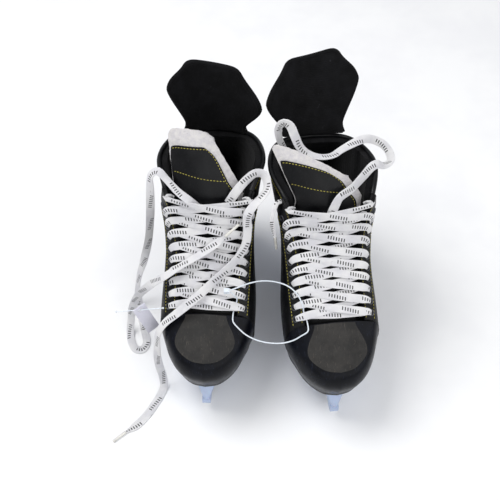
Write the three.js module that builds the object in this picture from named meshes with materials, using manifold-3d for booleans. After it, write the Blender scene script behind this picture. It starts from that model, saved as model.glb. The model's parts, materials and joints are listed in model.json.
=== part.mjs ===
// A pair of lace-up ice hockey skates that stand side by side on their runners.
// Millimetres, +Z up. z = 0 is the ice, -Y is where the toes point, +X is across the pair.
// right_ is the wearer's right skate, at -X, and left_ is the wearer's left skate, at +X.
// Each skate is built in a frame of its own: x across the boot, y from toe to heel, z up from the ice.

import * as THREE from "three";
import { mergeVertices } from "three/addons/utils/BufferGeometryUtils.js";
import Module from "manifold-3d";

const wasm = await Module();
wasm.setup();

// ---------------------------------------------------------------- driving dimensions

const GAP = 0.3; // clearance between pieces that touch
const SHELL_WALL = 3; // boot shell and toe cap
const FOREFOOT_HEIGHT = 60; // underside of the boot above the ice
const HEEL_LIFT = 6; // how much higher the heel stands
const HEEL_RAMP = { start: -30, length: 75 }; // where the sole climbs to the heel
const EYELETS = 10; // in each row
const LACE_WIDTH = 7;
const LACE_THICKNESS = 1.5;
const CORD_RADIUS = 2.2; // plain solid of a loose lace end
const RUNNER_THICKNESS = 3;
const RUNNER_TOP = 24;
const RAIL_WIDTH = 9.6; // plastic rail that grips the runner
const BOLT_PLACES = { front: -88, rear: 95 };
const TIE_RADIUS = 0.7; // nylon loop that ties the two skates together
const BARB_RADIUS = 0.6; // nylon barb that carries the paper tag

// Where each skate stands. yaw turns the toes outwards, out is the lateral side's direction in x.
// lean is how far the tendon guard leans back from upright, height its length along its own slope.
const SKATES = [
  { side: "right", out: -1, x: -65, y: -6.1, yaw: -2.6, guard: { lean: 9, height: 88 } },
  { side: "left", out: 1, x: 60.7, y: -16.8, yaw: 5.8, guard: { lean: 36, height: 92 } },
];

// The boot's skin as half widths, y and z: each row runs from the toe seam round to the middle of the
// heel, the first row at the sole, the last along the throat, the collar's corner and the collar.
const QUARTER_NET = [
  [[47, -80], [47, -58], [43, -34], [37, -6], [33, 25], [32, 65], [32, 105], [22, 136], [0, 146]],
  [[52, -80, 82], [52, -56, 84], [50, -31, 86], [44, -4, 89], [39, 27, 92], [38, 68, 94], [37, 110, 95],
    [25, 141, 95], [0, 151, 95]],
  [[51, -80, 102], [52, -55, 108], [51, -29, 117], [48, -3, 128], [44, 26, 138], [43, 66, 140],
    [39, 106, 139], [25, 136, 138], [0, 145, 138]],
  [[45, -80, 114], [46, -53, 129], [46, -27, 145], [47, -5, 168], [50, 14, 190], [52, 55, 190],
    [46, 97, 184], [29, 121, 178], [0, 129, 177]],
  [[33, -79, 119], [32, -52, 140], [32, -27, 161], [37, -5, 192], [46, 6, 226], [57, 48, 226],
    [50, 90, 214], [32, 114, 206], [0, 120, 204]],
];
const COLLAR_CORNER = 0.5; // share of each row at which the throat turns into the collar

// The toe cap's skin: each row runs from the seam to the middle of the front, the first row at the sole,
// the last along the middle of the top.
const TOE_NET = [
  [[47, -80], [41, -96], [34.5, -110.5], [25.5, -122.5], [14, -131], [0, -134]],
  [[51, -80, 82], [45, -97, 82], [38.5, -113, 82], [29, -127, 82], [16, -136.5, 82], [0, -140, 82]],
  [[50, -80, 102], [44, -96, 100], [37, -111, 98], [27.5, -124, 97], [15, -132.5, 96.5], [0, -135.5, 96.5]],
  [[43, -80, 115], [36, -95, 109.5], [30, -107, 106], [22, -117.5, 104], [12, -124.5, 103], [0, -127, 103]],
  [[22, -80, 120.5], [19, -92, 116.5], [15, -101, 113.5], [11, -108, 111.3], [6, -112.5, 110], [0, -114, 109.5]],
  [[0, -80, 122], [0, -89, 119], [0, -95, 117], [0, -99.5, 115.5], [0, -103, 114.3], [0, -104, 114]],
];

// The top of each tongue, which flops back over the foot opening: the corners where it leaves the lacing,
// its free edge from -X to +X, and how far its middle bulges forward.
const TONGUE_TOPS = {
  right: { base: [[-37, 14, 214.5], [0, 5, 218.5], [37, 14, 214.5]],
    edge: [[-45, 58, 262], [-22, 54, 264], [-1, 51, 264]], bulge: 5 },
  left: { base: [[-33, 12, 216], [0, 5, 218.5], [37, 14, 214.5]],
    edge: [[-57, 59, 258], [-26, 46, 253], [21, 27, 234]], bulge: 5 },
};
const TONGUE_LINE = [[-88, 105], [-72, 118.5], [-51, 138], [-26, 158.5], [-6, 188], [4, 214]]; // y, z
const TONGUE_THICKNESS = 4.5;

// The loose ends of both laces, as routes in the pair's own frame. Each ends in its aglet.
const LOOSE_LACES = {
  // From the top eyelet over the collar, down the lacing, off the side of the toe cap and along the floor.
  right_lace_end_medial: {
    aglet: "right_aglet_medial",
    steps: 36,
    route: [
      [-32, 2, 227], [-24, 9, 232], [-16, 14, 235], [-8, 14, 234], [-4, 9, 229], [-4, 1, 225], [-10, -7, 221],
      [-18, -14, 216],
      [-24, -20, 207], [-24, -24, 190], [-26, -33, 176], [-35, -44, 165], [-47, -54, 158], [-58, -63, 153],
      [-72, -74, 146], [-86, -83, 138], [-100, -89, 127], [-113, -94, 116], [-121, -98, 102], [-124, -101, 82],
      [-126, -103, 60], [-126, -104, 40], [-124, -106, 18], [-123, -112, 5], [-126, -122, 2.4], [-132, -134, 2.4],
      [-140, -148, 2.4], [-151, -161, 2.4], [-163, -170, 2.4],
    ],
    agletEnd: [-176, -181, 2.4],
  },
  // Out over the collar, down to the floor, folded back there, up again and across the lacing.
  right_lace_end_lateral: {
    aglet: "right_aglet_lateral",
    steps: 44,
    route: [
      [-86, -9, 221], [-97, 0, 224], [-108, 11, 229], [-117, 18, 234], [-125, 17, 228], [-127, 14, 212],
      [-130, 11, 180], [-134, 10, 150], [-138, 10, 127], [-143, 10, 105], [-149, 10, 83], [-157, 10, 56],
      [-162, 9, 30], [-163, 4, 11], [-161, -6, 3], [-157, -22, 2.4], [-152, -40, 2.4], [-149, -53, 2.4],
      [-153, -63, 2.4], [-162, -62, 2.4], [-168, -51, 2.4], [-170, -39, 5], [-168, -32, 18], [-165, -30, 36],
      [-161, -32, 53], [-154, -37, 76], [-146, -43, 97], [-136, -49, 117], [-125, -54, 136], [-112, -56, 150],
      [-95, -50, 160], [-74, -43, 171], [-58, -36, 180], [-47, -31, 187],
    ],
    agletEnd: [-33, -24, 198],
  },
  // Up over the collar, out in a loop, back across the foot opening and in an arch over the tongue's edge.
  left_lace_end_lateral: {
    aglet: "left_aglet_lateral",
    steps: 40,
    route: [
      [70, -15, 231], [83, -3, 231], [95, 11, 233], [105, 23, 235], [112, 28, 234], [118, 32, 228], [125, 41, 220],
      [131, 51, 215], [132, 60, 214], [129, 68, 216], [123, 73, 219], [115, 75, 222], [107, 73, 226], [98, 69, 228],
      [87, 62, 228], [76, 53, 229], [66, 44, 230], [54, 39, 233], [41, 38, 238], [31, 40, 246], [25, 45, 257],
      [20, 50, 267], [13, 52, 270], [8, 52, 262], [9, 51, 250], [13, 49, 238], [18, 48, 226], [22, 47, 214],
    ],
    agletEnd: [25, 46, 196],
  },
  // A short end that hangs between the two boots.
  left_lace_end_medial: {
    aglet: "left_aglet_medial",
    steps: 6,
    route: [[2, -20, 208], [1.5, -23, 200], [3, -25, 190], [5, -27, 180]],
    agletEnd: [7, -27, 160],
  },
};
const AGLET_RADIUS = 1.6;

// The nylon loop through the lowest laces of both skates: it starts and ends at its lock.
const TIE_ROUTE = [
  [-42.5, -73.5, 148.5], [-34, -71, 150.5], [-22, -66, 151], [-8, -63, 151], [6, -63, 149], [19, -67, 147],
  [29, -76, 144], [35.2, -87.7, 137.5], [34.8, -88.2, 132.5], [37, -90.5, 128.2],
  [39, -95.4, 124.2], [39.9, -99.3, 122.6], [40.3, -103.3, 121.9], [40.7, -107.3, 120.9],
  [34, -111, 119.5], [23, -117, 118], [8, -119.5, 117], [-10, -117, 117], [-25, -110, 117.5],
  [-35, -101, 119.5], [-40, -95.3, 120.9], [-39.8, -91.3, 121.9], [-39.7, -87.3, 122.3],
  [-39, -83.4, 124.2], [-37.2, -78.3, 128.2], [-35.1, -75.9, 132.5], [-35.6, -75.5, 137.5], [-41.7, -74.5, 146.8],
];
const TIE_LOCK = { size: [6, 5, 4], place: [-46, -74, 148] };

// The blank paper tag at the right skate's lowest eyelet, and the nylon barb that it swings on.
const BARB = { from: [-115, -80, 124], to: [-166, -82, 119.5] };
const TAG = { width: 15, above: 6, below: 42, thickness: 0.8, hole: 2.8, hang: [-139.5, -80.96, 121.84] };

// ---------------------------------------------------------------- finishes

const finish = (color, roughness, metalness = 0) =>
  new THREE.MeshStandardMaterial({ color, roughness, metalness });
const FINISHES = {
  boot: finish(0x17181a, 0.5),
  toeCap: finish(0x2b2a29, 0.6),
  lining: finish(0x1b1b1d, 0.9),
  felt: finish(0xc9c7c1, 0.95),
  sole: finish(0x1c1c1e, 0.55),
  footbed: finish(0x33363b, 0.9),
  holder: finish(0xe6ebf2, 0.35),
  steel: finish(0xc4c7ca, 0.2, 1),
  lace: finish(0xe8e6df, 0.9),
  aglet: finish(0xd5d5d2, 0.3),
  nylon: finish(0xe4ebee, 0.25),
  paper: finish(0xf0f0ec, 0.7),
};

// ---------------------------------------------------------------- solids

const vector = (point) => new THREE.Vector3(...point);
const smoothRise = (t) => THREE.MathUtils.smoothstep(t, 0, 1);
const curveThrough = (points) => new THREE.CatmullRomCurve3(points, false, "catmullrom", 0.5);
const steps = (count, from = 0, to = 1) =>
  Array.from({ length: count + 1 }, (_, i) => from + ((to - from) * i) / count);

/** Height of the boot's underside at a place along the foot. */
const soleHeight = (y) => FOREFOOT_HEIGHT + HEEL_LIFT * smoothRise((y - HEEL_RAMP.start) / HEEL_RAMP.length);

/** A closed geometry from faces of three or four points, turned so that they point out. */
function closedGeometry(faces) {
  const corners = faces.flatMap((face) =>
    face.length === 3 ? face : [face[0], face[1], face[2], face[0], face[2], face[3]],
  );
  const loose = new THREE.BufferGeometry().setFromPoints(corners);
  const merged = mergeVertices(loose, 1e-3);
  const place = merged.getAttribute("position");
  const index = [];
  let volume = 0;
  const [a, b, c] = [new THREE.Vector3(), new THREE.Vector3(), new THREE.Vector3()];
  for (let i = 0; i < merged.index.count; i += 3) {
    const [p, q, r] = [merged.index.getX(i), merged.index.getX(i + 1), merged.index.getX(i + 2)];
    if (p === q || q === r || r === p) continue;
    index.push([p, q, r]);
    a.fromBufferAttribute(place, p);
    b.fromBufferAttribute(place, q);
    c.fromBufferAttribute(place, r);
    volume += a.dot(b.cross(c));
  }
  merged.setIndex(index.flatMap(([p, q, r]) => (volume < 0 ? [p, r, q] : [p, q, r])));
  return merged;
}

/** A sheet with thickness between two grids of points; weldTop joins the grid's last row to itself. */
function sheetSolid(outer, inner, weldTop = false) {
  const faces = [];
  const columns = outer.length - 1;
  const rows = outer[0].length - 1;
  for (let i = 0; i < columns; i++) {
    for (let j = 0; j < rows; j++) {
      faces.push([outer[i][j], outer[i + 1][j], outer[i + 1][j + 1], outer[i][j + 1]]);
      faces.push([inner[i][j], inner[i][j + 1], inner[i + 1][j + 1], inner[i + 1][j]]);
    }
    faces.push([outer[i + 1][0], outer[i][0], inner[i][0], inner[i + 1][0]]);
    if (!weldTop) faces.push([outer[i][rows], outer[i + 1][rows], inner[i + 1][rows], inner[i][rows]]);
  }
  for (let j = 0; j < rows; j++) {
    faces.push([outer[0][j], outer[0][j + 1], inner[0][j + 1], inner[0][j]]);
    faces.push([outer[columns][j + 1], outer[columns][j], inner[columns][j], inner[columns][j + 1]]);
  }
  return closedGeometry(faces);
}

/** A solid through a stack of closed rings with the same number of points. */
function loftSolid(rings) {
  const faces = [];
  const count = rings[0].length;
  const last = rings.length - 1;
  for (let i = 0; i < count; i++) {
    const next = (i + 1) % count;
    for (let k = 0; k < last; k++) {
      faces.push([rings[k][i], rings[k][next], rings[k + 1][next], rings[k + 1][i]]);
    }
    if (i > 0 && next > 0) {
      faces.push([rings[0][0], rings[0][next], rings[0][i]]);
      faces.push([rings[last][0], rings[last][i], rings[last][next]]);
    }
  }
  return closedGeometry(faces);
}

/** A flat plate: a side view outline in y and z, given a width across x. */
function sideProfile(outline, width) {
  const shape = new THREE.Shape(outline.map(([y, z]) => new THREE.Vector2(y, z)));
  const geometry = new THREE.ExtrudeGeometry(shape, { depth: width, bevelEnabled: false });
  const turn = new THREE.Matrix4().makeBasis(
    new THREE.Vector3(0, 1, 0),
    new THREE.Vector3(0, 0, 1),
    new THREE.Vector3(1, 0, 0),
  );
  return geometry.applyMatrix4(turn).translate(-width / 2, 0, 0);
}

/** A round bar along +Z. */
const bar = (radius, from, to, y, sides = 16) =>
  new THREE.CylinderGeometry(radius, radius, to - from, sides).rotateX(Math.PI / 2).translate(0, y, (from + to) / 2);

/** A tube along a curve, with flat ends. */
function tube(curve, radius, sides, stepCount) {
  const section = new THREE.Shape(
    steps(sides - 1, 0, (2 * Math.PI * (sides - 1)) / sides).map(
      (angle) => new THREE.Vector2(radius * Math.cos(angle), radius * Math.sin(angle)),
    ),
  );
  return new THREE.ExtrudeGeometry(section, { steps: stepCount, extrudePath: curve, bevelEnabled: false });
}

/** A geometry as a solid that can be joined and cut. */
function asSolid(geometry) {
  const bare = geometry.clone();
  bare.deleteAttribute("normal");
  bare.deleteAttribute("uv");
  const merged = mergeVertices(bare, 1e-4);
  return new wasm.Manifold(
    new wasm.Mesh({
      numProp: 3,
      vertProperties: merged.getAttribute("position").array,
      triVerts: new Uint32Array(merged.index.array),
    }),
  );
}

/** A solid back as a geometry. */
function asGeometry(solid) {
  const { vertProperties, triVerts } = solid.getMesh();
  return new THREE.BufferGeometry()
    .setAttribute("position", new THREE.BufferAttribute(vertProperties, 3))
    .setIndex(new THREE.BufferAttribute(triVerts, 1));
}

// ---------------------------------------------------------------- the boot's skin

/** A smooth skin through a net: skin(u, v, lift) is the point that stands lift off it, outwards. */
function skinThrough(net, outward) {
  const rows = net.map((row) => curveThrough(row.map(([x, y, z]) => new THREE.Vector3(x, y, z ?? soleHeight(y)))));
  const at = (u, v) => curveThrough(rows.map((row) => row.getPoint(u))).getPoint(v);
  const reach = 1e-3;
  return (u, v, lift = 0) => {
    const along = at(Math.min(u + reach, 1), v).sub(at(Math.max(u - reach, 0), v));
    const up = at(u, Math.min(v + reach, 1)).sub(at(u, Math.max(v - reach, 0)));
    const normal = along.cross(up).multiplyScalar(outward);
    const point = at(u, v);
    if (Math.abs(point.x) < 1e-6) normal.x = 0; // the middle of the boot stays in its middle plane
    return point.addScaledVector(normal.normalize(), lift);
  };
}

const quarterSkin = skinThrough(QUARTER_NET, 1);
const FACING_START = 0.785; // share of the way up at which the facings begin
const SHELL_US = [...steps(8, 0, COLLAR_CORNER), ...steps(8, COLLAR_CORNER, 1).slice(1)];
const SHELL_VS = [...steps(6, 0, FACING_START), ...steps(2, FACING_START, 1).slice(1)];
const toeSkin = skinThrough(TOE_NET, -1);
const mirrored = (point, side) => new THREE.Vector3(point.x * side, point.y, point.z);

/** One half of the boot's skin as a grid, from the toe seam to the heel. */
const halfGrid = (side, us, vs, lift, least = -Infinity) =>
  us.map((u) =>
    vs(u).map((v) => {
      const point = quarterSkin(u, v, typeof lift === "function" ? lift(u, v) : lift);
      return mirrored(new THREE.Vector3(Math.max(point.x, least), point.y, point.z), side);
    }),
  );

/** A grid that runs up one side of the boot, round the heel and back along the other side. */
const wrapGrid = (us, vs, lift) => [
  ...halfGrid(1, us, vs, lift),
  ...halfGrid(-1, us, vs, lift).reverse().slice(1),
];

/** One side of the boot shell, from the toe seam to the heel seam. */
function quarter(side) {
  const half = (lift) => halfGrid(side, SHELL_US, () => SHELL_VS, lift, GAP / 2);
  return sheetSolid(half(0), half(-SHELL_WALL));
}

/** The padded lining inside the shell, low under the lacing and full height round the ankle. */
function liner() {
  const us = [0.02, ...SHELL_US.slice(1)];
  const top = (u) => 0.79 + 0.19 * smoothRise((u - 0.4) / 0.12);
  const vs = (u) => steps(5, 0.15, top(u));
  const back = SHELL_WALL + 1.2;
  const thickness = (u) => 2.5 + 3.5 * smoothRise((u - 0.25) / 0.3);
  return sheetSolid(wrapGrid(us, vs, -back), wrapGrid(us, vs, (u) => -back - thickness(u)));
}

/** The strip that covers the seam down the back of the heel. */
function heelStay() {
  const us = SHELL_US.slice(-2);
  const vs = () => SHELL_VS.slice(0, -1);
  return sheetSolid(wrapGrid(us, vs, GAP + 1.3), wrapGrid(us, vs, GAP));
}

/** The reinforced facing that holds one row of eyelets. */
function eyestay(side) {
  const us = SHELL_US.filter((u) => u <= COLLAR_CORNER);
  const vs = () => SHELL_VS.filter((v) => v >= FACING_START);
  return sheetSolid(halfGrid(side, us, vs, GAP + 1.7), halfGrid(side, us, vs, GAP));
}

/** The moulded cap over the toes, open at the back and below. */
function toeCap() {
  const us = steps(9, 0.02, 1);
  const vs = [...steps(6, 0, 0.8), ...steps(2, 0.8, 1).slice(1)];
  const half = (side, lift) => us.map((u) => vs.map((v) => mirrored(toeSkin(u, v, lift), side)));
  const whole = (lift) => [...half(1, lift), ...half(-1, lift).reverse().slice(1)];
  return sheetSolid(whole(0), whole(-SHELL_WALL), true);
}

// ---------------------------------------------------------------- the sole

const soleEdge = curveThrough([
  ...TOE_NET[0].slice().reverse(),
  ...QUARTER_NET[0].slice(1),
].map(([x, y]) => new THREE.Vector3(x, y, 0)));

/** A foot-shaped plate between two heights above the boot's underside, its edge drawn in by inset. */
function solePlate(inset, bottom, top, rowCount = 26) {
  const edge = steps(rowCount).map((t) => {
    const point = soleEdge.getPoint(t);
    const along = soleEdge.getTangent(t);
    const inward = new THREE.Vector3(-along.y, along.x, 0);
    if (point.x < 1e-6) inward.set(0, t < 0.5 ? 1 : -1, 0);
    return point.addScaledVector(inward, inset);
  });
  const level = (height) =>
    edge.map(({ x, y }) => [1, -1].map((side) => new THREE.Vector3(side * Math.max(x, 0), y, soleHeight(y) + height)));
  return sheetSolid(level(top), level(bottom));
}

const SOLE_PLATES = {
  outsole: { inset: 0.5, bottom: -4.8, top: -0.5, finish: FINISHES.sole },
  insole_board: { inset: 5, bottom: 0.4, top: 2.8, finish: FINISHES.lining },
  footbed: { inset: 6.5, bottom: 3.3, top: 7, finish: FINISHES.footbed },
};
const PLATE_DROP = 5.3; // top of the holder's plates below the boot's underside

// ---------------------------------------------------------------- holder, runner and bolts

const HOLDER_RAIL = [
  [-130, 14], [-135, 17], [-135, 24], [-130, 27], [-45, 27], [-38, 25.5], [45, 25.5], [52, 27], [134, 27],
  [140, 22], [141, 15], [138, 12.5], [-126, 12.5],
];
const TOWER_RINGS = {
  front: [[22, -134, -40, 5.6], [32, -133, -45, 9.8], [42, -131, -48, 13], [50, -128, -46, 20],
    [FOREFOOT_HEIGHT - PLATE_DROP, -124, -36, 34]],
  rear: [[22, 48, 138, 4.7], [34, 55, 134, 6.5], [46, 58, 132, 9], [56, 54, 134, 17],
    [FOREFOOT_HEIGHT + HEEL_LIFT - PLATE_DROP, 48, 138, 27]],
};
const RUNNER_OUTLINE = [
  [-126, 14], [-118, 6], [-100, 1.8], [-60, 0], [85, 0], [120, 1.5], [140, 7], [146, 14], [146, 20], [141.5, 24],
  [-120, 24], [-126, 18],
];
const BOLT = { shaft: 2.5, head: 5, shaftFrom: RUNNER_TOP + GAP, headFrom: 46, headTo: 50 };

/** A level ring with blunt corners between two places along the foot. */
function bluntRing(z, from, to, halfWidth) {
  const sides = 16;
  const blunt = (value) => Math.sign(value) * Math.abs(value) ** (2 / 3);
  return steps(sides - 1, 0, (2 * Math.PI * (sides - 1)) / sides).map(
    (angle) =>
      new THREE.Vector3(
        halfWidth * blunt(Math.cos(angle)),
        (from + to) / 2 + ((to - from) / 2) * blunt(Math.sin(angle)),
        z,
      ),
  );
}

/** The moulded holder: a rail on two towers, slotted for the runner and bored for its bolts. */
function holder() {
  let body = asSolid(sideProfile(HOLDER_RAIL, RAIL_WIDTH));
  for (const rings of Object.values(TOWER_RINGS)) {
    body = body.add(asSolid(loftSolid(rings.map((ring) => bluntRing(...ring)))));
  }
  const slot = [[-140, 5], [155, 5], [155, RUNNER_TOP + GAP], [-123, RUNNER_TOP + GAP], [-128.6, 19], [-128.6, 12]];
  body = body.subtract(asSolid(sideProfile(slot, RUNNER_THICKNESS + 2 * GAP)));
  for (const y of Object.values(BOLT_PLACES)) {
    body = body.subtract(asSolid(bar(BOLT.shaft + 0.8, RUNNER_TOP - 1, 70, y)));
    body = body.subtract(asSolid(bar(BOLT.head + 0.8, BOLT.headFrom - GAP, 70, y)));
  }
  return asGeometry(body);
}

const runner = () => sideProfile(RUNNER_OUTLINE, RUNNER_THICKNESS);

/** A bolt inside a tower, which pulls the runner up into its slot. */
function runnerBolt(y) {
  const { shaft, head, shaftFrom, headFrom, headTo } = BOLT;
  const profile = [[0, shaftFrom], [shaft, shaftFrom], [shaft, headFrom], [head, headFrom], [head, headTo], [0, headTo]];
  return new THREE.LatheGeometry(profile.map(([r, z]) => new THREE.Vector2(r, z)), 16)
    .rotateX(Math.PI / 2)
    .translate(0, y, 0);
}

// ---------------------------------------------------------------- tongue and tendon guard

/** The tongue between the two rows of eyelets, arched from side to side. */
function tongueLower() {
  const line = curveThrough(TONGUE_LINE.map(([y, z]) => new THREE.Vector3(0, y, z)));
  const dropPerSquare = 0.0083; // how fast its sides fall away from the middle
  const grid = (lift) =>
    steps(10).map((t) => {
      const middle = line.getPoint(t);
      const { y, z } = line.getTangent(t);
      const halfWidth = 33 + 2.5 * t;
      return steps(6, -halfWidth, halfWidth).map((x) => {
        const fall = lift - dropPerSquare * x * x;
        return new THREE.Vector3(x, middle.y - z * fall, middle.z + y * fall);
      });
    });
  return sheetSolid(grid(0), grid(-TONGUE_THICKNESS));
}

/** The free top of the tongue, as a sheet from its base up to its felt edge. */
function tongueUpper({ base, edge, bulge }) {
  const [low, high] = [base, edge].map((points) => curveThrough(points.map(vector)));
  const at = (s, t) => {
    const point = low.getPoint(s).lerp(high.getPoint(s), t);
    const swell = bulge * Math.sin(Math.PI * t) * (1 - (2 * s - 1) ** 2);
    return point.add(new THREE.Vector3(0, -0.8 * swell, 0.6 * swell));
  };
  const grid = (depth) =>
    steps(8).map((s) =>
      steps(6).map((t) => {
        const across = at(Math.min(s + 0.01, 1), t).sub(at(Math.max(s - 0.01, 0), t));
        const up = at(s, Math.min(t + 0.01, 1)).sub(at(s, Math.max(t - 0.01, 0)));
        return at(s, t).addScaledVector(across.cross(up).normalize(), -depth);
      }),
    );
  return sheetSolid(grid(0), grid(TONGUE_THICKNESS + 1.5));
}

const GUARD_FOOT = { y: 120.5, z: 204.5 }; // middle of the guard's lower edge, above the heel
const GUARD_OUTER_EDGE = [[35, 5], [33, 14], [50, 60], [32, 1]]; // outwards, up; the last as a share of its height
const GUARD_INNER_EDGE = [[-35, 5], [-33, 10], [-51, 38], [-28, 0.88]];
const GUARD_WRAP = 150; // the larger, the flatter the guard lies round the leg
const GUARD_THICKNESS = 5.5;

/** The padded guard over the tendon, hexagonal, curved round the back of the leg. */
function tendonGuard({ lean, height }, out) {
  const slope = THREE.MathUtils.degToRad(90 - lean);
  const edges = [GUARD_INNER_EDGE, GUARD_OUTER_EDGE].map((edge) =>
    edge.map(([p, q]) => new THREE.Vector2(p, q <= 1 ? q * height : q)),
  );
  const along = (edge, t) => {
    const place = Math.min(t * 3, 2.999);
    const k = Math.floor(place);
    return edge[k].clone().lerp(edge[k + 1], place - k);
  };
  const grid = (depth) =>
    steps(9).map((t) =>
      steps(8).map((s) => {
        const { x: p, y: q } = along(edges[0], t).lerp(along(edges[1], t), s);
        const wrap = Math.atan((2 * p) / GUARD_WRAP);
        const forward = p ** 2 / GUARD_WRAP + depth * Math.cos(wrap);
        return new THREE.Vector3(
          out * (p - depth * Math.sin(wrap)),
          GUARD_FOOT.y + q * Math.cos(slope) - forward * Math.sin(slope),
          GUARD_FOOT.z + q * Math.sin(slope) + forward * Math.cos(slope),
        );
      }),
    );
  return sheetSolid(grid(0), grid(GUARD_THICKNESS));
}

// ---------------------------------------------------------------- laces

const EYELET_ROW = 0.86; // share of the way from sole to throat edge
const eyeletPlace = (i) => 0.035 + (0.43 * i) / (EYELETS - 1);
const LACE_LIFT = 4.8; // middle of the lace above the shell
const LACE_CROWN = 5; // how far a strand arches over the tongue

/** A flat strand from an eyelet over its facing and across to the edge of the facing opposite. */
function laceStrand(from, to, sideFrom) {
  const over = (i, v, side, lift) => mirrored(quarterSkin(eyeletPlace(i), v, lift), side);
  const start = over(from, EYELET_ROW, sideFrom, LACE_LIFT);
  const startEdge = over(from, 0.985, sideFrom, LACE_LIFT);
  const end = over(to, 0.985, -sideFrom, LACE_LIFT);
  const slope = quarterSkin(eyeletPlace(from + 1), 0.9).sub(quarterSkin(eyeletPlace(from), 0.9));
  const rise = new THREE.Vector3(0, -slope.z, slope.y).normalize();
  const middle = startEdge.clone().lerp(end, 0.5).addScaledVector(rise, LACE_CROWN);
  const path = [start, startEdge, middle, end];
  const rings = path.map((point, k) => {
    const along = path[Math.min(k + 1, path.length - 1)].clone().sub(path[Math.max(k - 1, 0)]).normalize();
    const wide = slope.clone().addScaledVector(along, -slope.dot(along)).normalize();
    const thick = along.clone().cross(wide).multiplyScalar(LACE_THICKNESS / 2);
    wide.multiplyScalar(LACE_WIDTH / 2);
    return [[1, 1], [1, -1], [-1, -1], [-1, 1]].map(([w, t]) =>
      point.clone().addScaledVector(wide, w).addScaledVector(thick, t),
    );
  });
  return asSolid(loftSolid(rings));
}

/** The laced part of the lace: the bar across the lowest eyelets and the crossings above it. */
function lacedLace() {
  let lace = laceStrand(0, 0, 1);
  for (let i = 0; i < EYELETS - 1; i++) {
    lace = lace.add(laceStrand(i, i + 1, 1)).add(laceStrand(i, i + 1, -1));
  }
  return asGeometry(lace);
}

// ---------------------------------------------------------------- loose laces, tie and tag

/** An aglet from where its lace stops, a gap further on, to its own tip. */
function agletGeometry(lace, tip) {
  const [from, to] = [vector(lace), vector(tip)];
  const along = to.clone().sub(from).normalize();
  const line = new THREE.LineCurve3(from.clone().addScaledVector(along, 2 * GAP), to);
  return tube(line, AGLET_RADIUS, 8, 1);
}

/** The paper tag, with its hole at the origin, hung straight down and turned a little to one side. */
function priceTag() {
  const { width, above, below, thickness, hole } = TAG;
  const shape = new THREE.Shape([
    new THREE.Vector2(-width / 2, -below),
    new THREE.Vector2(width / 2, -below),
    new THREE.Vector2(width / 2, above),
    new THREE.Vector2(-width / 2, above),
  ]);
  shape.holes.push(new THREE.Path().absarc(0, 0, hole, 0, 2 * Math.PI, true));
  const sheet = new THREE.ExtrudeGeometry(shape, { depth: thickness, bevelEnabled: false, curveSegments: 8 });
  return sheet.translate(0, 0, -thickness / 2).rotateX(Math.PI / 2);
}

// ---------------------------------------------------------------- assembly

const skates = new THREE.Group();

/** Adds a named piece to a group. */
function addPiece(group, name, geometry, material) {
  const mesh = new THREE.Mesh(geometry, material);
  mesh.name = name;
  group.add(mesh);
}

for (const { side, out, x, y, yaw, guard } of SKATES) {
  const skate = new THREE.Group();
  skate.position.set(x, y, 0);
  skate.rotation.z = THREE.MathUtils.degToRad(yaw);
  const add = (name, geometry, material) => addPiece(skate, `${side}_${name}`, geometry, material);
  add("runner", runner(), FINISHES.steel);
  add("holder", holder(), FINISHES.holder);
  for (const [place, boltY] of Object.entries(BOLT_PLACES)) {
    add(`runner_bolt_${place}`, runnerBolt(boltY), FINISHES.steel);
  }
  for (const [name, plate] of Object.entries(SOLE_PLATES)) {
    add(name, solePlate(plate.inset, plate.bottom, plate.top), plate.finish);
  }
  add("toe_cap", toeCap(), FINISHES.toeCap);
  for (const [name, direction] of [["lateral", out], ["medial", -out]]) {
    add(`quarter_${name}`, quarter(direction), FINISHES.boot);
    add(`eyestay_${name}`, eyestay(direction), FINISHES.boot);
  }
  add("liner", liner(), FINISHES.lining);
  add("heel_stay", heelStay(), FINISHES.boot);
  add("tongue_lower", tongueLower(), FINISHES.felt);
  add("tongue_upper", tongueUpper(TONGUE_TOPS[side]), FINISHES.felt);
  add("tendon_guard", tendonGuard(guard, out), FINISHES.lining);
  add("lace_laced", lacedLace(), FINISHES.lace);
  skates.add(skate);
}

const group = new THREE.Group();
group.add(skates);

for (const [name, { aglet, steps: stepCount, route, agletEnd }] of Object.entries(LOOSE_LACES)) {
  addPiece(group, name, tube(curveThrough(route.map(vector)), CORD_RADIUS, 8, stepCount), FINISHES.lace);
  addPiece(group, aglet, agletGeometry(route.at(-1), agletEnd), FINISHES.aglet);
}

addPiece(group, "tie_loop", tube(curveThrough(TIE_ROUTE.map(vector)), TIE_RADIUS, 8, 44), FINISHES.nylon);
const lock = new THREE.Group();
lock.position.set(...TIE_LOCK.place);
addPiece(lock, "tie_lock", new THREE.BoxGeometry(...TIE_LOCK.size), FINISHES.nylon);
group.add(lock);

const barbLine = new THREE.LineCurve3(vector(BARB.from), vector(BARB.to));
addPiece(group, "tag_barb", tube(barbLine, BARB_RADIUS, 8, 1), FINISHES.nylon);
const tag = new THREE.Group();
tag.position.set(...TAG.hang);
tag.rotation.set(0, THREE.MathUtils.degToRad(-14), THREE.MathUtils.degToRad(35));
addPiece(tag, "price_tag", priceTag(), FINISHES.paper);
group.add(tag);

export default group;
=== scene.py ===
"""A pair of laced ice hockey skates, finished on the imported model's frame.

Sizes inside the classes are millimetres in a skate's own frame, whose origin lies on the ice line under
the boot, with y from toe to heel. Stance turns them into metres in the frame that all pieces share.
"""

import sys

import json
import logging
import math
from collections.abc import Callable, Sequence
from dataclasses import dataclass, field
from enum import Enum

import bmesh
import bpy
import numpy as np
from mathutils import Matrix, Vector, noise


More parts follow.
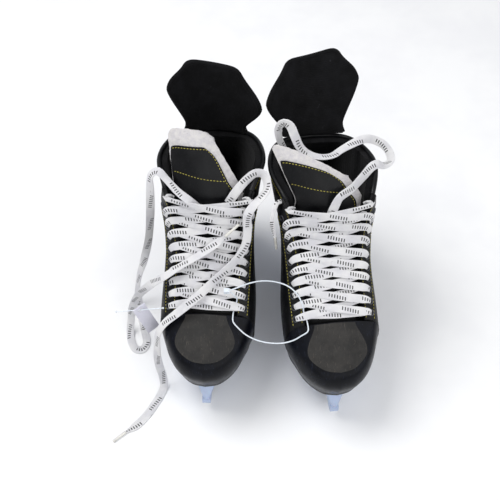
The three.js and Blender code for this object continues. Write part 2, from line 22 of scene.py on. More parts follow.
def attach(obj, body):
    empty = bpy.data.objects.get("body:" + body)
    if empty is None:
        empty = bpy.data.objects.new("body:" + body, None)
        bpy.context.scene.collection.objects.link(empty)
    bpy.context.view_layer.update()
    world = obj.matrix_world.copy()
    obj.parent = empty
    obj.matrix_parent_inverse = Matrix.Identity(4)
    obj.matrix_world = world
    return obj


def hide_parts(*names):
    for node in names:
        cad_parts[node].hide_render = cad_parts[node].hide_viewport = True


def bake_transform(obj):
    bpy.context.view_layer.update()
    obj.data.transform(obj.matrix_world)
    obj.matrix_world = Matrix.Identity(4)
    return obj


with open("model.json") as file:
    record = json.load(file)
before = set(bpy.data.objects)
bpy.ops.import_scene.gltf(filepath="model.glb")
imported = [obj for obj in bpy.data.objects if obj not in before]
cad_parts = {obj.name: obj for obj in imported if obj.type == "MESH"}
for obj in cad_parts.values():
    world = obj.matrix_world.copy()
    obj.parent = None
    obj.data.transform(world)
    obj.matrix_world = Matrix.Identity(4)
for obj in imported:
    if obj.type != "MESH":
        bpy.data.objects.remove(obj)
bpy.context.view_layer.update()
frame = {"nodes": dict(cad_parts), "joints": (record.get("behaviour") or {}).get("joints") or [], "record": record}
LOG = logging.getLogger("skates")
ROOT = "skates"
Points = np.ndarray
Placer = Callable[[np.ndarray, np.ndarray], Points]
Margins = Callable[[np.ndarray], tuple[np.ndarray, np.ndarray]]
LAST_ROW = 0.4999  # just short of the last row of a unit grid
AGLET_REST = 0.0018  # least height of an aglet's middle line over the floor, in metres


# ------------------------------------------------------------------ curves and frames


def spline_weights(count: int, places: np.ndarray) -> np.ndarray:
    """How much each of a row of control points weighs at each place along a Catmull-Rom curve.

    Args:
        count: number of control points.
        places: shares of the way along, from 0 to 1.

    Returns:
        One row per place and one column per control point.
    """
    span = np.clip(places, 0, 1) * (count - 1)
    left = np.clip(np.floor(span).astype(int), 0, count - 2)
    w = span - left
    parts = (-w + 2 * w**2 - w**3, 2 - 5 * w**2 + 3 * w**3, w + 4 * w**2 - 3 * w**3, w**3 - w**2)
    table = np.zeros((len(places), count + 2))
    for shift, part in enumerate(parts):
        table[np.arange(len(places)), left + shift] += 0.5 * part
    inner = table[:, 1:-1].copy()
    inner[:, 0] += 2 * table[:, 0]
    inner[:, 1] -= table[:, 0]
    inner[:, -1] += 2 * table[:, -1]
    inner[:, -2] -= table[:, -1]
    return inner


def curve(points: Sequence[Sequence[float]], places: np.ndarray) -> Points:
    """Points at the given shares of the way along a smooth curve through the control points."""
    return spline_weights(len(points), places) @ np.array(points, float)


def unit(vectors: Points) -> Points:
    """The same directions, each of length 1."""
    return vectors / np.maximum(np.linalg.norm(vectors, axis=-1, keepdims=True), 1e-9)


def rise(t: np.ndarray) -> np.ndarray:
    """A smooth step from 0 at 0 to 1 at 1."""
    t = np.clip(t, 0, 1)
    return t * t * (3 - 2 * t)


def run_length(path: Points) -> np.ndarray:
    """How far along the path each of its points lies."""
    return np.concatenate([[0], np.cumsum(np.linalg.norm(np.diff(path, axis=0), axis=1))])


def even_path(points: Sequence[Sequence[float]], count: int) -> Points:
    """A smooth path through the points with evenly spaced samples."""
    dense = curve(points, np.linspace(0, 1, count * 8))
    run = run_length(dense)
    wanted = np.linspace(0, run[-1], count)
    return np.stack([np.interp(wanted, run, dense[:, k]) for k in range(3)], 1)


def path_frames(path: Points, facing: Points, passes: int = 0) -> tuple[Points, Points]:
    """The flat direction and the way across for a band that follows a path.

    Args:
        path: points along the band's middle.
        facing: which way the band's face should look, one vector or one for each point.
        passes: how often neighbouring directions are averaged.

    Returns:
        The face's direction and the direction across, one each for every point.
    """
    along = unit(np.gradient(path, axis=0))
    facing = np.broadcast_to(facing, path.shape).astype(float)
    normal = unit(facing - (facing * along).sum(1, keepdims=True) * along)
    for _ in range(passes):
        normal[1:-1] = normal[:-2] + 2 * normal[1:-1] + normal[2:]
        normal = unit(normal - (normal * along).sum(1, keepdims=True) * along)
    return normal, np.cross(along, normal)


# ------------------------------------------------------------------ meshes


def add_shell(
    bm: bmesh.types.BMesh,
    columns: int,
    rows: int,
    outer: Placer,
    inner: Placer,
    uv_size: tuple[float, float] = (1.0, 1.0),
    rim: float = 0.0,
    weld: bool = False,
) -> None:
    """Adds a closed curved slab: a grid is extruded, then its two faces are laid on two surfaces.

    Args:
        bm: the bmesh that takes it.
        columns: faces across, along the first parameter.
        rows: faces along the second parameter.
        outer: places the outer face, from two arrays of shares to points in metres.
        inner: places the inner face in the same way.
        uv_size: the UV map's size over the whole grid.
        rim: radius of the rounding along the slab's edge, in metres, 0 for none.
        weld: whether the last row folds onto itself, so that it gets no wall.
    """
    layer = bm.loops.layers.uv.verify()
    grid = bmesh.ops.create_grid(bm, x_segments=columns, y_segments=rows, size=0.5, calc_uvs=True)["verts"]
    faces = list({face for vert in grid for face in vert.link_faces})
    for face in faces:
        for loop in face.loops:
            loop[layer].uv = (
                (loop.vert.co.x + 0.5) * uv_size[0],
                (loop.vert.co.y + 0.5) * uv_size[1],
            )
    edges = list({edge for face in faces for edge in face.edges})
    made = bmesh.ops.extrude_face_region(bm, geom=faces + edges + grid, use_keep_orig=True)["geom"]
    twins = [item for item in made if isinstance(item, bmesh.types.BMVert)]
    both = grid + twins
    front = set(grid)
    touching = list({face for vert in both for face in vert.link_faces})
    walls = [face for face in touching if 0 < sum(vert in front for vert in face.verts) < len(face.verts)]
    if weld:
        folded = [face for face in walls if all(vert.co.y > LAST_ROW for vert in face.verts)]
        bmesh.ops.delete(bm, geom=folded, context="FACES_ONLY")
    for verts, place in ((grid, outer), (twins, inner)):
        shares = np.array([vert.co[:2] for vert in verts]) + 0.5
        for vert, point in zip(verts, place(shares[:, 0], shares[:, 1])):
            vert.co = point
    walls = [face for face in walls if face.is_valid]
    if rim > 0:
        brim = [e for f in walls for e in f.edges if (e.verts[0] in front) == (e.verts[1] in front)]
        result = bmesh.ops.bevel(
            bm,
            geom=list(set(brim)),
            offset=rim,
            segments=3,
            profile=0.5,
            affect="EDGES",
            material=-1,
            clamp_overlap=True,
        )
        both = [v for v in both if v.is_valid] + result["verts"]
    bmesh.ops.remove_doubles(bm, verts=list(set(both)), dist=2e-6)


def add_tube(bm: bmesh.types.BMesh, path: Points, radius: float | np.ndarray, sides: int = 10) -> None:
    """Adds a tube along a path, closed at both ends.

    Args:
        bm: the bmesh that takes it.
        path: the tube's middle line in metres.
        radius: its radius in metres, one value or one for each point.
        sides: faces round the tube.
    """
    rows = len(path) - 1
    radii = np.broadcast_to(radius, len(path))
    normal, across = path_frames(path, np.array([0.12, 0.21, 0.97]), 6)
    grid = bmesh.ops.create_grid(bm, x_segments=sides, y_segments=rows, size=0.5)["verts"]
    for vert in grid:
        row = round((vert.co.y + 0.5) * rows)
        angle = 2 * math.pi * (vert.co.x + 0.5)
        offset = math.cos(angle) * across[row] + math.sin(angle) * normal[row]
        vert.co = path[row] + radii[row] * offset
    bmesh.ops.remove_doubles(bm, verts=grid, dist=1e-7)
    live = [vert for vert in grid if vert.is_valid]
    rims = list({edge for vert in live for edge in vert.link_edges if edge.is_boundary})
    bmesh.ops.holes_fill(bm, edges=rims, sides=0)


def add_stitches(
    bm: bmesh.types.BMesh, path: Points, normal: Points, pitch: float = 3.4, length: float = 2.3
) -> None:
    """Adds a row of sewn stitches, each a small grain of thread lying along the path.

    Args:
        bm: the bmesh that takes them.
        path: the seam's line in metres.
        normal: the surface's direction at each point of the path.
        pitch: distance from stitch to stitch in millimetres.
        length: length of one stitch in millimetres.
    """
    run = run_length(path)
    along = unit(np.gradient(path, axis=0))
    for place in np.arange(pitch / 2000, run[-1], pitch / 1000):
        spot, way, up = (
            Vector([float(np.interp(place, run, table[:, k])) for k in range(3)])
            for table in (path, along, normal)
        )
        way.normalize()
        across = up.cross(way).normalized()
        up = way.cross(across)
        turn = Matrix((across, up, way)).transposed().to_4x4()
        size = Matrix.Diagonal((0.00042, 0.00034, length / 2000, 1))
        bmesh.ops.create_uvsphere(
            bm, u_segments=6, v_segments=4, radius=1, matrix=Matrix.Translation(spot) @ turn @ size
        )


def add_ring(bm: bmesh.types.BMesh, centre: Points, normal: Points, radius: float, wire: float) -> None:
    """Adds a rolled metal ring of the given radii in metres, lying square to the normal."""
    ring = bmesh.ops.create_circle(bm, segments=8, radius=wire, matrix=Matrix.Translation((radius, 0, 0)))
    verts = ring["verts"]
    bmesh.ops.rotate(bm, verts=verts, cent=(radius, 0, 0), matrix=Matrix.Rotation(math.pi / 2, 3, "X"))
    edges = list({edge for vert in verts for edge in vert.link_edges})
    before = set(bm.verts) - set(verts)
    bmesh.ops.spin(
        bm,
        geom=verts + edges,
        cent=(0, 0, 0),
        axis=(0, 0, 1),
        dvec=(0, 0, 0),
        angle=2 * math.pi,
        steps=20,
        use_merge=True,
        use_duplicate=False,
    )
    made = [vert for vert in bm.verts if vert not in before]
    turn = Vector((0, 0, 1)).rotation_difference(Vector(normal)).to_matrix().to_4x4()
    bmesh.ops.transform(bm, verts=made, matrix=Matrix.Translation(Vector(centre)) @ turn)


def ruffle(bm: bmesh.types.BMesh, size: float, height: float) -> None:
    """Moves every vertex a little along its normal, by noise of the given size and height in metres."""
    bm.normal_update()
    for vert in bm.verts:
        vert.co += vert.normal * height * noise.fractal(vert.co / size, 0.6, 2.0, 3)


def finish_piece(
    name: str,
    bm: bmesh.types.BMesh,
    material: bpy.types.Material,
    body: str | None = ROOT,
    replaces: Sequence[str] = (),
) -> bpy.types.Object:
    """Turns a bmesh into a named piece with its material, on its body.

    Args:
        name: the piece's name.
        bm: its shape in metres, freed here.
        material: its finish.
        body: the body that it rides on, or None where it rides on none.
        replaces: the model's nodes that it stands for.

    Returns:
        The new object.
    """
    bmesh.ops.recalc_face_normals(bm, faces=bm.faces)
    mesh = bpy.data.meshes.new(name)
    bm.to_mesh(mesh)
    bm.free()
    mesh.polygons.foreach_set("use_smooth", [True] * len(mesh.polygons))
    mesh.set_sharp_from_angle(angle=math.radians(50))
    mesh.materials.append(material)
    obj = bpy.data.objects.new(name, mesh)
    bpy.context.scene.collection.objects.link(obj)
    if body:
        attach(obj, body)
    if replaces:
        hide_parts(*replaces)
    LOG.info("%s: %d faces", name, len(mesh.polygons))
    return obj


# ------------------------------------------------------------------ finishes


def linear(colour: str) -> tuple[float, float, float, float]:
    """An sRGB hex colour as linear light with full alpha."""
    values = [int(colour[k : k + 2], 16) / 255 for k in (1, 3, 5)]
    light = [v / 12.92 if v <= 0.04045 else ((v + 0.055) / 1.055) ** 2.4 for v in values]
    return (light[0], light[1], light[2], 1.0)


def add_node(
    tree: bpy.types.NodeTree, kind: str, inputs: dict[str | int, object] | None = None, **settings: object
) -> bpy.types.Node:
    """Adds a node with its settings, and links or values for its inputs.

    Args:
        tree: the material's node tree.
        kind: the node's type name.
        inputs: for each input either a value or the output socket that feeds it.
        settings: the node's own properties.

    Returns:
        The node.
    """
    node = tree.nodes.new(kind)
    for name, value in settings.items():
        setattr(node, name, value)
    for key, value in (inputs or {}).items():
        if isinstance(value, bpy.types.NodeSocket):
            tree.links.new(value, node.inputs[key])
        else:
            node.inputs[key].default_value = value
    return node


class Surface(Enum):
    """How a surface was made, which decides its fine relief."""

    GRAINED = "grained"
    FELTED = "felted"
    KNITTED = "knitted"
    MOULDED = "moulded"
    GROUND = "ground"
    BRAIDED = "braided"


@dataclass(frozen=True)
class Finish:
    """One finish: two colours that mottle into each other, wear, scratches and a fine relief.

    Sizes are millimetres. wear is the share of the surface that shows the worn colour, scratch the
    strength of the fine lines drawn on it.
    """

    name: str
    colour: str
    second: str
    worn: str
    made: Surface
    relief: float
    height: float
    roughness: float
    mottle: float = 18.0
    wear: float = 0.0
    scratch: float = 0.0
    metallic: float = 0.0
    sheen: float = 0.0
    coat: float = 0.0
    subsurface: float = 0.0
    transmission: float = 0.0
    ior: float = 1.5
    specular: float = 0.5

    def math(self, tree: bpy.types.NodeTree, how: str, *values: object) -> bpy.types.NodeSocket:
        """One sum on two or three values or sockets."""
        return add_node(tree, "ShaderNodeMath", dict(enumerate(values)), operation=how).outputs[0]

    def ramp(self, tree: bpy.types.NodeTree, value: object, low: float, high: float) -> bpy.types.NodeSocket:
        """A smooth mask that is 0 below low and 1 above high."""
        ends = {"Value": value, "From Min": low, "From Max": high}
        return add_node(tree, "ShaderNodeMapRange", ends, interpolation_type="SMOOTHSTEP").outputs[0]

    def noise(
        self, tree: bpy.types.NodeTree, place: object, size: float, detail: float = 3.0
    ) -> bpy.types.NodeSocket:
        """Noise whose lumps are size millimetres across."""
        wanted = {"Vector": place, "Scale": 1000 / size, "Detail": detail, "Roughness": 0.6}
        return add_node(tree, "ShaderNodeTexNoise", wanted).outputs[0]

    def mix(
        self, tree: bpy.types.NodeTree, share: object, first: object, other: object
    ) -> bpy.types.NodeSocket:
        """One colour turning into another by a share."""
        return add_node(
            tree, "ShaderNodeMix", {0: share, 6: first, 7: other}, data_type="RGBA"
        ).outputs[2]

    def lines(self, tree: bpy.types.NodeTree, place: object) -> bpy.types.NodeSocket:
        """Fine scratches about 0.5 mm wide and 12 mm long, in two directions."""
        masks = []
        for turn in (0.35, -0.6):
            drawn = add_node(
                tree,
                "ShaderNodeMapping",
                {"Vector": place, "Rotation": (turn, 0.2, turn), "Scale": (1.0, 0.05, 0.35)},
            ).outputs[0]
            masks.append(self.ramp(tree, self.noise(tree, drawn, 1.1, 2), 0.66, 0.7))
        return self.math(tree, "MAXIMUM", *masks)

    def height_map(self, tree: bpy.types.NodeTree, place: object) -> bpy.types.NodeSocket:
        """The fine relief as a height from 0 to 1, by how the surface was made."""
        if self.made is Surface.GRAINED:
            cells = add_node(
                tree, "ShaderNodeTexVoronoi", {"Vector": place, "Scale": 1000 / self.relief}, feature="F1"
            ).outputs[0]
            return self.math(tree, "ADD", cells, self.noise(tree, place, self.relief * 5))
        if self.made is Surface.FELTED:
            coarse = self.noise(tree, place, self.relief * 5, 6)
            return self.math(tree, "ADD", self.noise(tree, place, self.relief, 8), coarse)
        if self.made is Surface.KNITTED:
            cells = {"Vector": place, "Scale": 1000 / self.relief, "Randomness": 0.12}
            return add_node(tree, "ShaderNodeTexVoronoi", cells, feature="F1").outputs[0]
        if self.made is Surface.GROUND:
            drawn = add_node(
                tree, "ShaderNodeMapping", {"Vector": place, "Scale": (1.0, 0.02, 1.0)}
            ).outputs[0]
            return self.noise(tree, drawn, self.relief, 2)
        return self.noise(tree, place, self.relief, 4)

    def colours(self, tree: bpy.types.NodeTree, place: object) -> bpy.types.NodeSocket:
        """The colour over the surface: mottled, worn and scratched."""
        patches = self.ramp(tree, self.noise(tree, place, self.mottle), 0.35, 0.68)
        colour = self.mix(tree, patches, linear(self.colour), linear(self.second))
        if self.wear:
            spots = self.noise(tree, place, self.mottle * 0.35, 8)
            mask = self.ramp(tree, spots, 0.72 - self.wear, 0.8 - self.wear)
            colour = self.mix(tree, self.math(tree, "MULTIPLY", mask, 0.8), colour, linear(self.worn))
        if self.scratch:
            mask = self.math(tree, "MULTIPLY", self.lines(tree, place), self.scratch)
            colour = self.mix(tree, mask, colour, linear(self.worn))
        return colour

    def make(self) -> bpy.types.Material:
        """Builds the material."""
        material = bpy.data.materials.new(self.name)
        material.use_nodes = True
        tree = material.node_tree
        place = add_node(tree, "ShaderNodeTexCoord").outputs["Object"]
        shader = tree.nodes["Principled BSDF"]
        colour = self.colours(tree, place)
        height = self.height_map(tree, place)
        tree.links.new(colour, shader.inputs["Base Color"])
        rough = add_node(
            tree,
            "ShaderNodeMapRange",
            {
                "Value": self.noise(tree, place, self.mottle * 0.6, 5),
                "From Min": 0.3,
                "From Max": 0.7,
                "To Min": max(self.roughness - 0.1, 0.04),
                "To Max": min(self.roughness + 0.1, 1.0),
            },
        ).outputs[0]
        tree.links.new(rough, shader.inputs["Roughness"])
        bump = add_node(
            tree, "ShaderNodeBump", {"Height": height, "Distance": self.height / 1000, "Strength": 1.0}
        ).outputs[0]
        tree.links.new(bump, shader.inputs["Normal"])
        shader.inputs["Metallic"].default_value = self.metallic
        shader.inputs["Specular IOR Level"].default_value = self.specular
        shader.inputs["Sheen Weight"].default_value = self.sheen
        shader.inputs["Coat Weight"].default_value = self.coat
        shader.inputs["Subsurface Weight"].default_value = self.subsurface
        shader.inputs["Subsurface Scale"].default_value = 0.003
        shader.inputs["Transmission Weight"].default_value = self.transmission
        if not self.metallic:
            shader.inputs["IOR"].default_value = self.ior
        return material


@dataclass(frozen=True)
class BraidedLace(Finish):
    """A flat braided lace with dark tracer ticks. Its UV map is millimetres across and along.

    repeat is the distance between groups of ticks, group a group's length, tick the pitch in it.
    """

    repeat: float = 37.0
    group: float = 20.0
    tick: float = 2.9
    tracer: str = "#0c0d12"

    def height_map(self, tree: bpy.types.NodeTree, place: object) -> bpy.types.NodeSocket:
        """Crossing yarns: two sets of ridges on opposite slants."""
        u, v = self.split(tree)
        first = self.math(tree, "SINE", self.math(tree, "MULTIPLY", self.math(tree, "ADD", u, v), 4.2))
        other = self.math(tree, "SINE", self.math(tree, "MULTIPLY", self.math(tree, "SUBTRACT", u, v), 4.2))
        return self.math(tree, "MAXIMUM", first, other)

    def split(self, tree: bpy.types.NodeTree) -> tuple[bpy.types.NodeSocket, bpy.types.NodeSocket]:
        """The millimetres across and along, from the UV map."""
        uv = add_node(tree, "ShaderNodeTexCoord").outputs["UV"]
        parts = add_node(tree, "ShaderNodeSeparateXYZ", {0: uv})
        return parts.outputs[0], parts.outputs[1]

    def colours(self, tree: bpy.types.NodeTree, place: object) -> bpy.types.NodeSocket:
        """Off-white yarn, a little grubby, crossed by the tracer's ticks."""
        base = Finish.colours(self, tree, place)
        u, v = self.split(tree)
        within = self.math(tree, "FLOORED_MODULO", v, self.repeat)
        grouped = self.math(tree, "LESS_THAN", within, self.group)
        beat = self.math(tree, "FLOORED_MODULO", within, self.tick)
        dark = self.math(tree, "LESS_THAN", beat, self.tick * 0.42)
        middle = self.math(tree, "ADD", self.math(tree, "MULTIPLY", within, 0.14), 2.6)
        away = self.math(tree, "ABSOLUTE", self.math(tree, "SUBTRACT", u, middle))
        narrow = self.math(tree, "LESS_THAN", away, 1.9)
        mask = self.math(tree, "MULTIPLY", self.math(tree, "MULTIPLY", grouped, dark), narrow)
        return self.mix(tree, self.math(tree, "MULTIPLY", mask, 0.97), base, linear(self.tracer))


@dataclass
class Palette:
    """Every finish of the skates, each made once."""

    finishes: tuple[Finish, ...] = (
        # Coated nylon over a stiff shell: near black, a fine pebble, dulled by rubbing, with pale nicks.
        Finish("coated_nylon_shell", "#070709", "#0d0e10", "#505053", Surface.GRAINED, 0.9, 0.12, 0.46,
               wear=0.03, scratch=0.14, specular=0.22),
        # Vinyl facing strip: smoother and glossier than the shell beside it.
        Finish("pressed_vinyl", "#060608", "#0b0c0e", "#44444a", Surface.GRAINED, 1.2, 0.08, 0.38,
               wear=0.02, scratch=0.1, specular=0.22),
        # Moulded toe cap: dark plastic with a soft sheen and a bluish edge in the light.
        Finish("moulded_toe_cap", "#06070c", "#0a0d16", "#34384a", Surface.MOULDED, 2.2, 0.08, 0.34,
               wear=0.04, scratch=0.3, specular=0.15),
        # The cap's rubbed top: matte, dusty brown grey with fine specks.
        Finish("rubbed_toe_panel", "#262524", "#302e2c", "#5e574f", Surface.GRAINED, 0.7, 0.18, 0.7,
               mottle=16.0, wear=0.05, scratch=0.35, specular=0.3),
        # Pressed wool felt: off-white, faintly lavender, fuzzy, greyed by use.
        Finish("pressed_wool_felt", "#c9c6c4", "#bdbabd", "#a39f9e", Surface.FELTED, 0.9, 0.6, 0.95,
               mottle=5.0, wear=0.1, sheen=0.25, specular=0.2),
        # Brushed knit lining: black, matte, with a small regular mesh.
        Finish("brushed_knit_lining", "#09090a", "#111113", "#2c2c2f", Surface.KNITTED, 1.7, 0.35, 0.92,
               wear=0.05, sheen=0.04, specular=0.12),
        # Sewing thread, waxed yellow.
        Finish("yellow_waxed_thread", "#a39a3c", "#8f8436", "#6a6235", Surface.FELTED, 0.4, 0.05, 0.7),
        # Outsole of pressed fibreboard with a carbon tint.
        Finish("pressed_outsole", "#141416", "#1d1d20", "#4b4b4e", Surface.MOULDED, 1.4, 0.1, 0.5,
               wear=0.06, scratch=0.25),
        # Foam footbed with a felted top cloth.
        Finish("foam_footbed", "#303338", "#3b3e44", "#5a5d62", Surface.FELTED, 0.9, 0.3, 0.92),
        # Moulded nylon holder: bluish white, a little translucent, scuffed.
        Finish("moulded_white_nylon", "#adbbd6", "#a3b2ce", "#7d899d", Surface.MOULDED, 3.0, 0.05, 0.4,
               wear=0.03, scratch=0.25, subsurface=0.1),
        # Stainless runner: ground lengthwise, then polished.
        Finish("ground_stainless_steel", "#b4b7bb", "#a6aaaf", "#7e8287", Surface.GROUND, 0.5, 0.02, 0.24,
               metallic=1.0, scratch=0.2),
        # Rolled steel eyelets and rivets under dark plating.
        Finish("dark_plated_steel", "#4a4b50", "#5a5b60", "#8c8d92", Surface.MOULDED, 0.8, 0.02, 0.33,
               metallic=1.0, wear=0.1),
        # Clear film rolled hard round the lace's end.
        Finish("rolled_lace_film", "#d6d4cd", "#c5c3bc", "#a9a7a0", Surface.MOULDED, 1.5, 0.04, 0.25,
               coat=0.5),
        # Clear nylon filament: milky blue, glossy, lets light through.
        Finish("drawn_clear_nylon", "#eaf0f6", "#dfe7ef", "#c3ccd6", Surface.MOULDED, 4.0, 0.02, 0.25,
               transmission=0.15, ior=1.53),
        # Plain tag card: pale lavender, dead matte.
        Finish("plain_tag_card", "#dcdbe6", "#d3d2de", "#b7b6c2", Surface.FELTED, 0.5, 0.04, 0.8),
        BraidedLace("braided_cotton_lace", "#ecebeb", "#dddce0", "#a9a5a2", Surface.BRAIDED, 1.5, 0.22, 0.88,
                    mottle=22.0, wear=0.07, sheen=0.2),
    )
    made: dict[str, bpy.types.Material] = field(default_factory=dict)

    def __getitem__(self, name: str) -> bpy.types.Material:
        """The material of that name, made when it is first asked for."""
        if name not in self.made:
            self.made[name] = next(f for f in self.finishes if f.name == name).make()
        return self.made[name]


# ------------------------------------------------------------------ where a skate stands


class Side(Enum):
    """Which foot a skate is for, and which way its outer side faces along x."""

    RIGHT = -1
    LEFT = 1

    @property
    def word(self) -> str:
        """The side's name as the pieces have it."""
        return self.name.lower()


@dataclass(frozen=True)
class Stance:
    """A skate's place: millimetres in its own frame become metres in the shared one."""

    side: Side
    x: float
    y: float
    yaw: float
    lean: float
    guard_height: float

    @classmethod
    def read(cls, side: Side, lean: float, guard_height: float) -> "Stance":
        """Reads a skate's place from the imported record: its runner mount and its tongue's axis."""
        record = frame["record"]
        mount = next(m for m in record["mounts"] if m["name"] == f"{side.word}_runner_edge")
        joint = next(j for j in frame["joints"] if j["name"] == f"{side.word}_tongue_fold")
        yaw = math.atan2(joint["axis"][1], joint["axis"][0])
        x, y = (1000 * value for value in mount["pos_m"][:2])
        return cls(side, x + 12 * math.sin(yaw), y - 12 * math.cos(yaw), yaw, lean, guard_height)

    def world(self, points: Points) -> Points:
        """Local millimetres to shared metres."""
        points = np.asarray(points, float)
        c, s = math.cos(self.yaw), math.sin(self.yaw)
        turned = points @ np.array([[c, s, 0], [-s, c, 0], [0, 0, 1]])
        return (turned + np.array([self.x, self.y, 0])) / 1000

    def direction(self, vectors: Points) -> Points:
        """Turns directions without moving them."""
        c, s = math.cos(self.yaw), math.sin(self.yaw)
        return np.asarray(vectors, float) @ np.array([[c, s, 0], [-s, c, 0], [0, 0, 1]])


# ------------------------------------------------------------------ the boot


@dataclass(frozen=True)
class Skin:
    """A smooth surface through a net of points, half of the boot, mirrored for the other side."""

    net: tuple[tuple[tuple[float, ...], ...], ...]
    turn: int
    forefoot: float = 60.0
    heel_lift: float = 6.0

    def sole(self, y: np.ndarray) -> np.ndarray:
        """Height of the boot's underside at a place along the foot."""
        return self.forefoot + self.heel_lift * rise((np.asarray(y, float) + 30) / 75)

    def at(self, u: np.ndarray, v: np.ndarray, lift: float | np.ndarray = 0.0, side: float = 1) -> Points:
        """Points on the skin.

        Args:
            u: share of the way from the toe seam to the heel.
            v: share of the way from the sole up to the edge.
            lift: how far outside the skin, in millimetres.
            side: 1 or -1, which half.

        Returns:
            Points in the skate's own frame.
        """
        reach = 1e-3
        point = self.raw(u, v)
        along = self.raw(np.minimum(u + reach, 1), v) - self.raw(np.maximum(u - reach, 0), v)
        up = self.raw(u, np.minimum(v + reach, 1)) - self.raw(u, np.maximum(v - reach, 0))
        normal = np.cross(along, up) * self.turn
        normal[np.abs(point[:, 0]) < 1e-6, 0] = 0
        point = point + unit(normal) * np.reshape(lift, (-1, 1))
        return point * np.array([side, 1, 1])

    def raw(self, u: np.ndarray, v: np.ndarray) -> Points:
        """Points on the half skin itself."""
        rows = np.array(
            [[(*p[:2], p[2] if len(p) > 2 else float(self.sole(p[1]))) for p in row] for row in self.net]
        )
        across = spline_weights(rows.shape[1], np.atleast_1d(u))
        upward = spline_weights(rows.shape[0], np.atleast_1d(v))
        return np.einsum("ni,nj,jik->nk", across, upward, rows)


QUARTER_SKIN = Skin(
    (
        ((47, -80), (47, -58), (43, -34), (37, -6), (33, 25), (32, 65), (32, 105), (22, 136), (0, 146)),
        ((52, -80, 82), (52, -56, 84), (50, -31, 86), (44, -4, 89), (39, 27, 92), (38, 68, 94),
         (37, 110, 95), (25, 141, 95), (0, 151, 95)),
        ((51, -80, 102), (52, -55, 108), (51, -29, 117), (48, -3, 128), (44, 26, 138), (43, 66, 140),
         (39, 106, 139), (25, 136, 138), (0, 145, 138)),
        ((45, -80, 114), (46, -53, 129), (46, -27, 145), (47, -5, 168), (50, 14, 190), (52, 55, 190),
         (46, 97, 184), (29, 121, 178), (0, 129, 177)),
        ((33, -79, 119), (32, -52, 140), (32, -27, 161), (37, -5, 192), (46, 6, 226), (57, 48, 226),
         (50, 90, 214), (32, 114, 206), (0, 120, 204)),
    ),
    1,
)
TOE_SKIN = Skin(
    (
        ((47, -80), (41, -96), (34.5, -110.5), (25.5, -122.5), (14, -131), (0, -134)),
        ((51, -80, 82), (45, -97, 82), (38.5, -113, 82), (29, -127, 82), (16, -136.5, 82), (0, -140, 82)),
        ((50, -80, 102), (44, -96, 100), (37, -111, 98), (27.5, -124, 97), (15, -132.5, 96.5),
         (0, -135.5, 96.5)),
        ((43, -80, 115), (36, -95, 109.5), (30, -107, 106), (22, -117.5, 104), (12, -124.5, 103),
         (0, -127, 103)),
        ((22, -80, 120.5), (19, -92, 116.5), (15, -101, 113.5), (11, -108, 111.3), (6, -112.5, 110),
         (0, -114, 109.5)),
        ((0, -80, 122), (0, -89, 119), (0, -95, 117), (0, -99.5, 115.5), (0, -103, 114.3), (0, -104, 114)),
    ),
    -1,
)


EYELETS = 10
EYELET_ROW = 0.86


def eyelet_share(i: float | np.ndarray) -> float | np.ndarray:
    """Share of the way from the toe seam to the heel of an eyelet."""
    return 0.035 + 0.43 * i / (EYELETS - 1)


def both_halves(points: Points, s: np.ndarray) -> Points:
    """Points of one half, mirrored to the other side where s is past the middle."""
    points[:, 0] *= np.where(s <= 0.5, 1, -1)
    return points


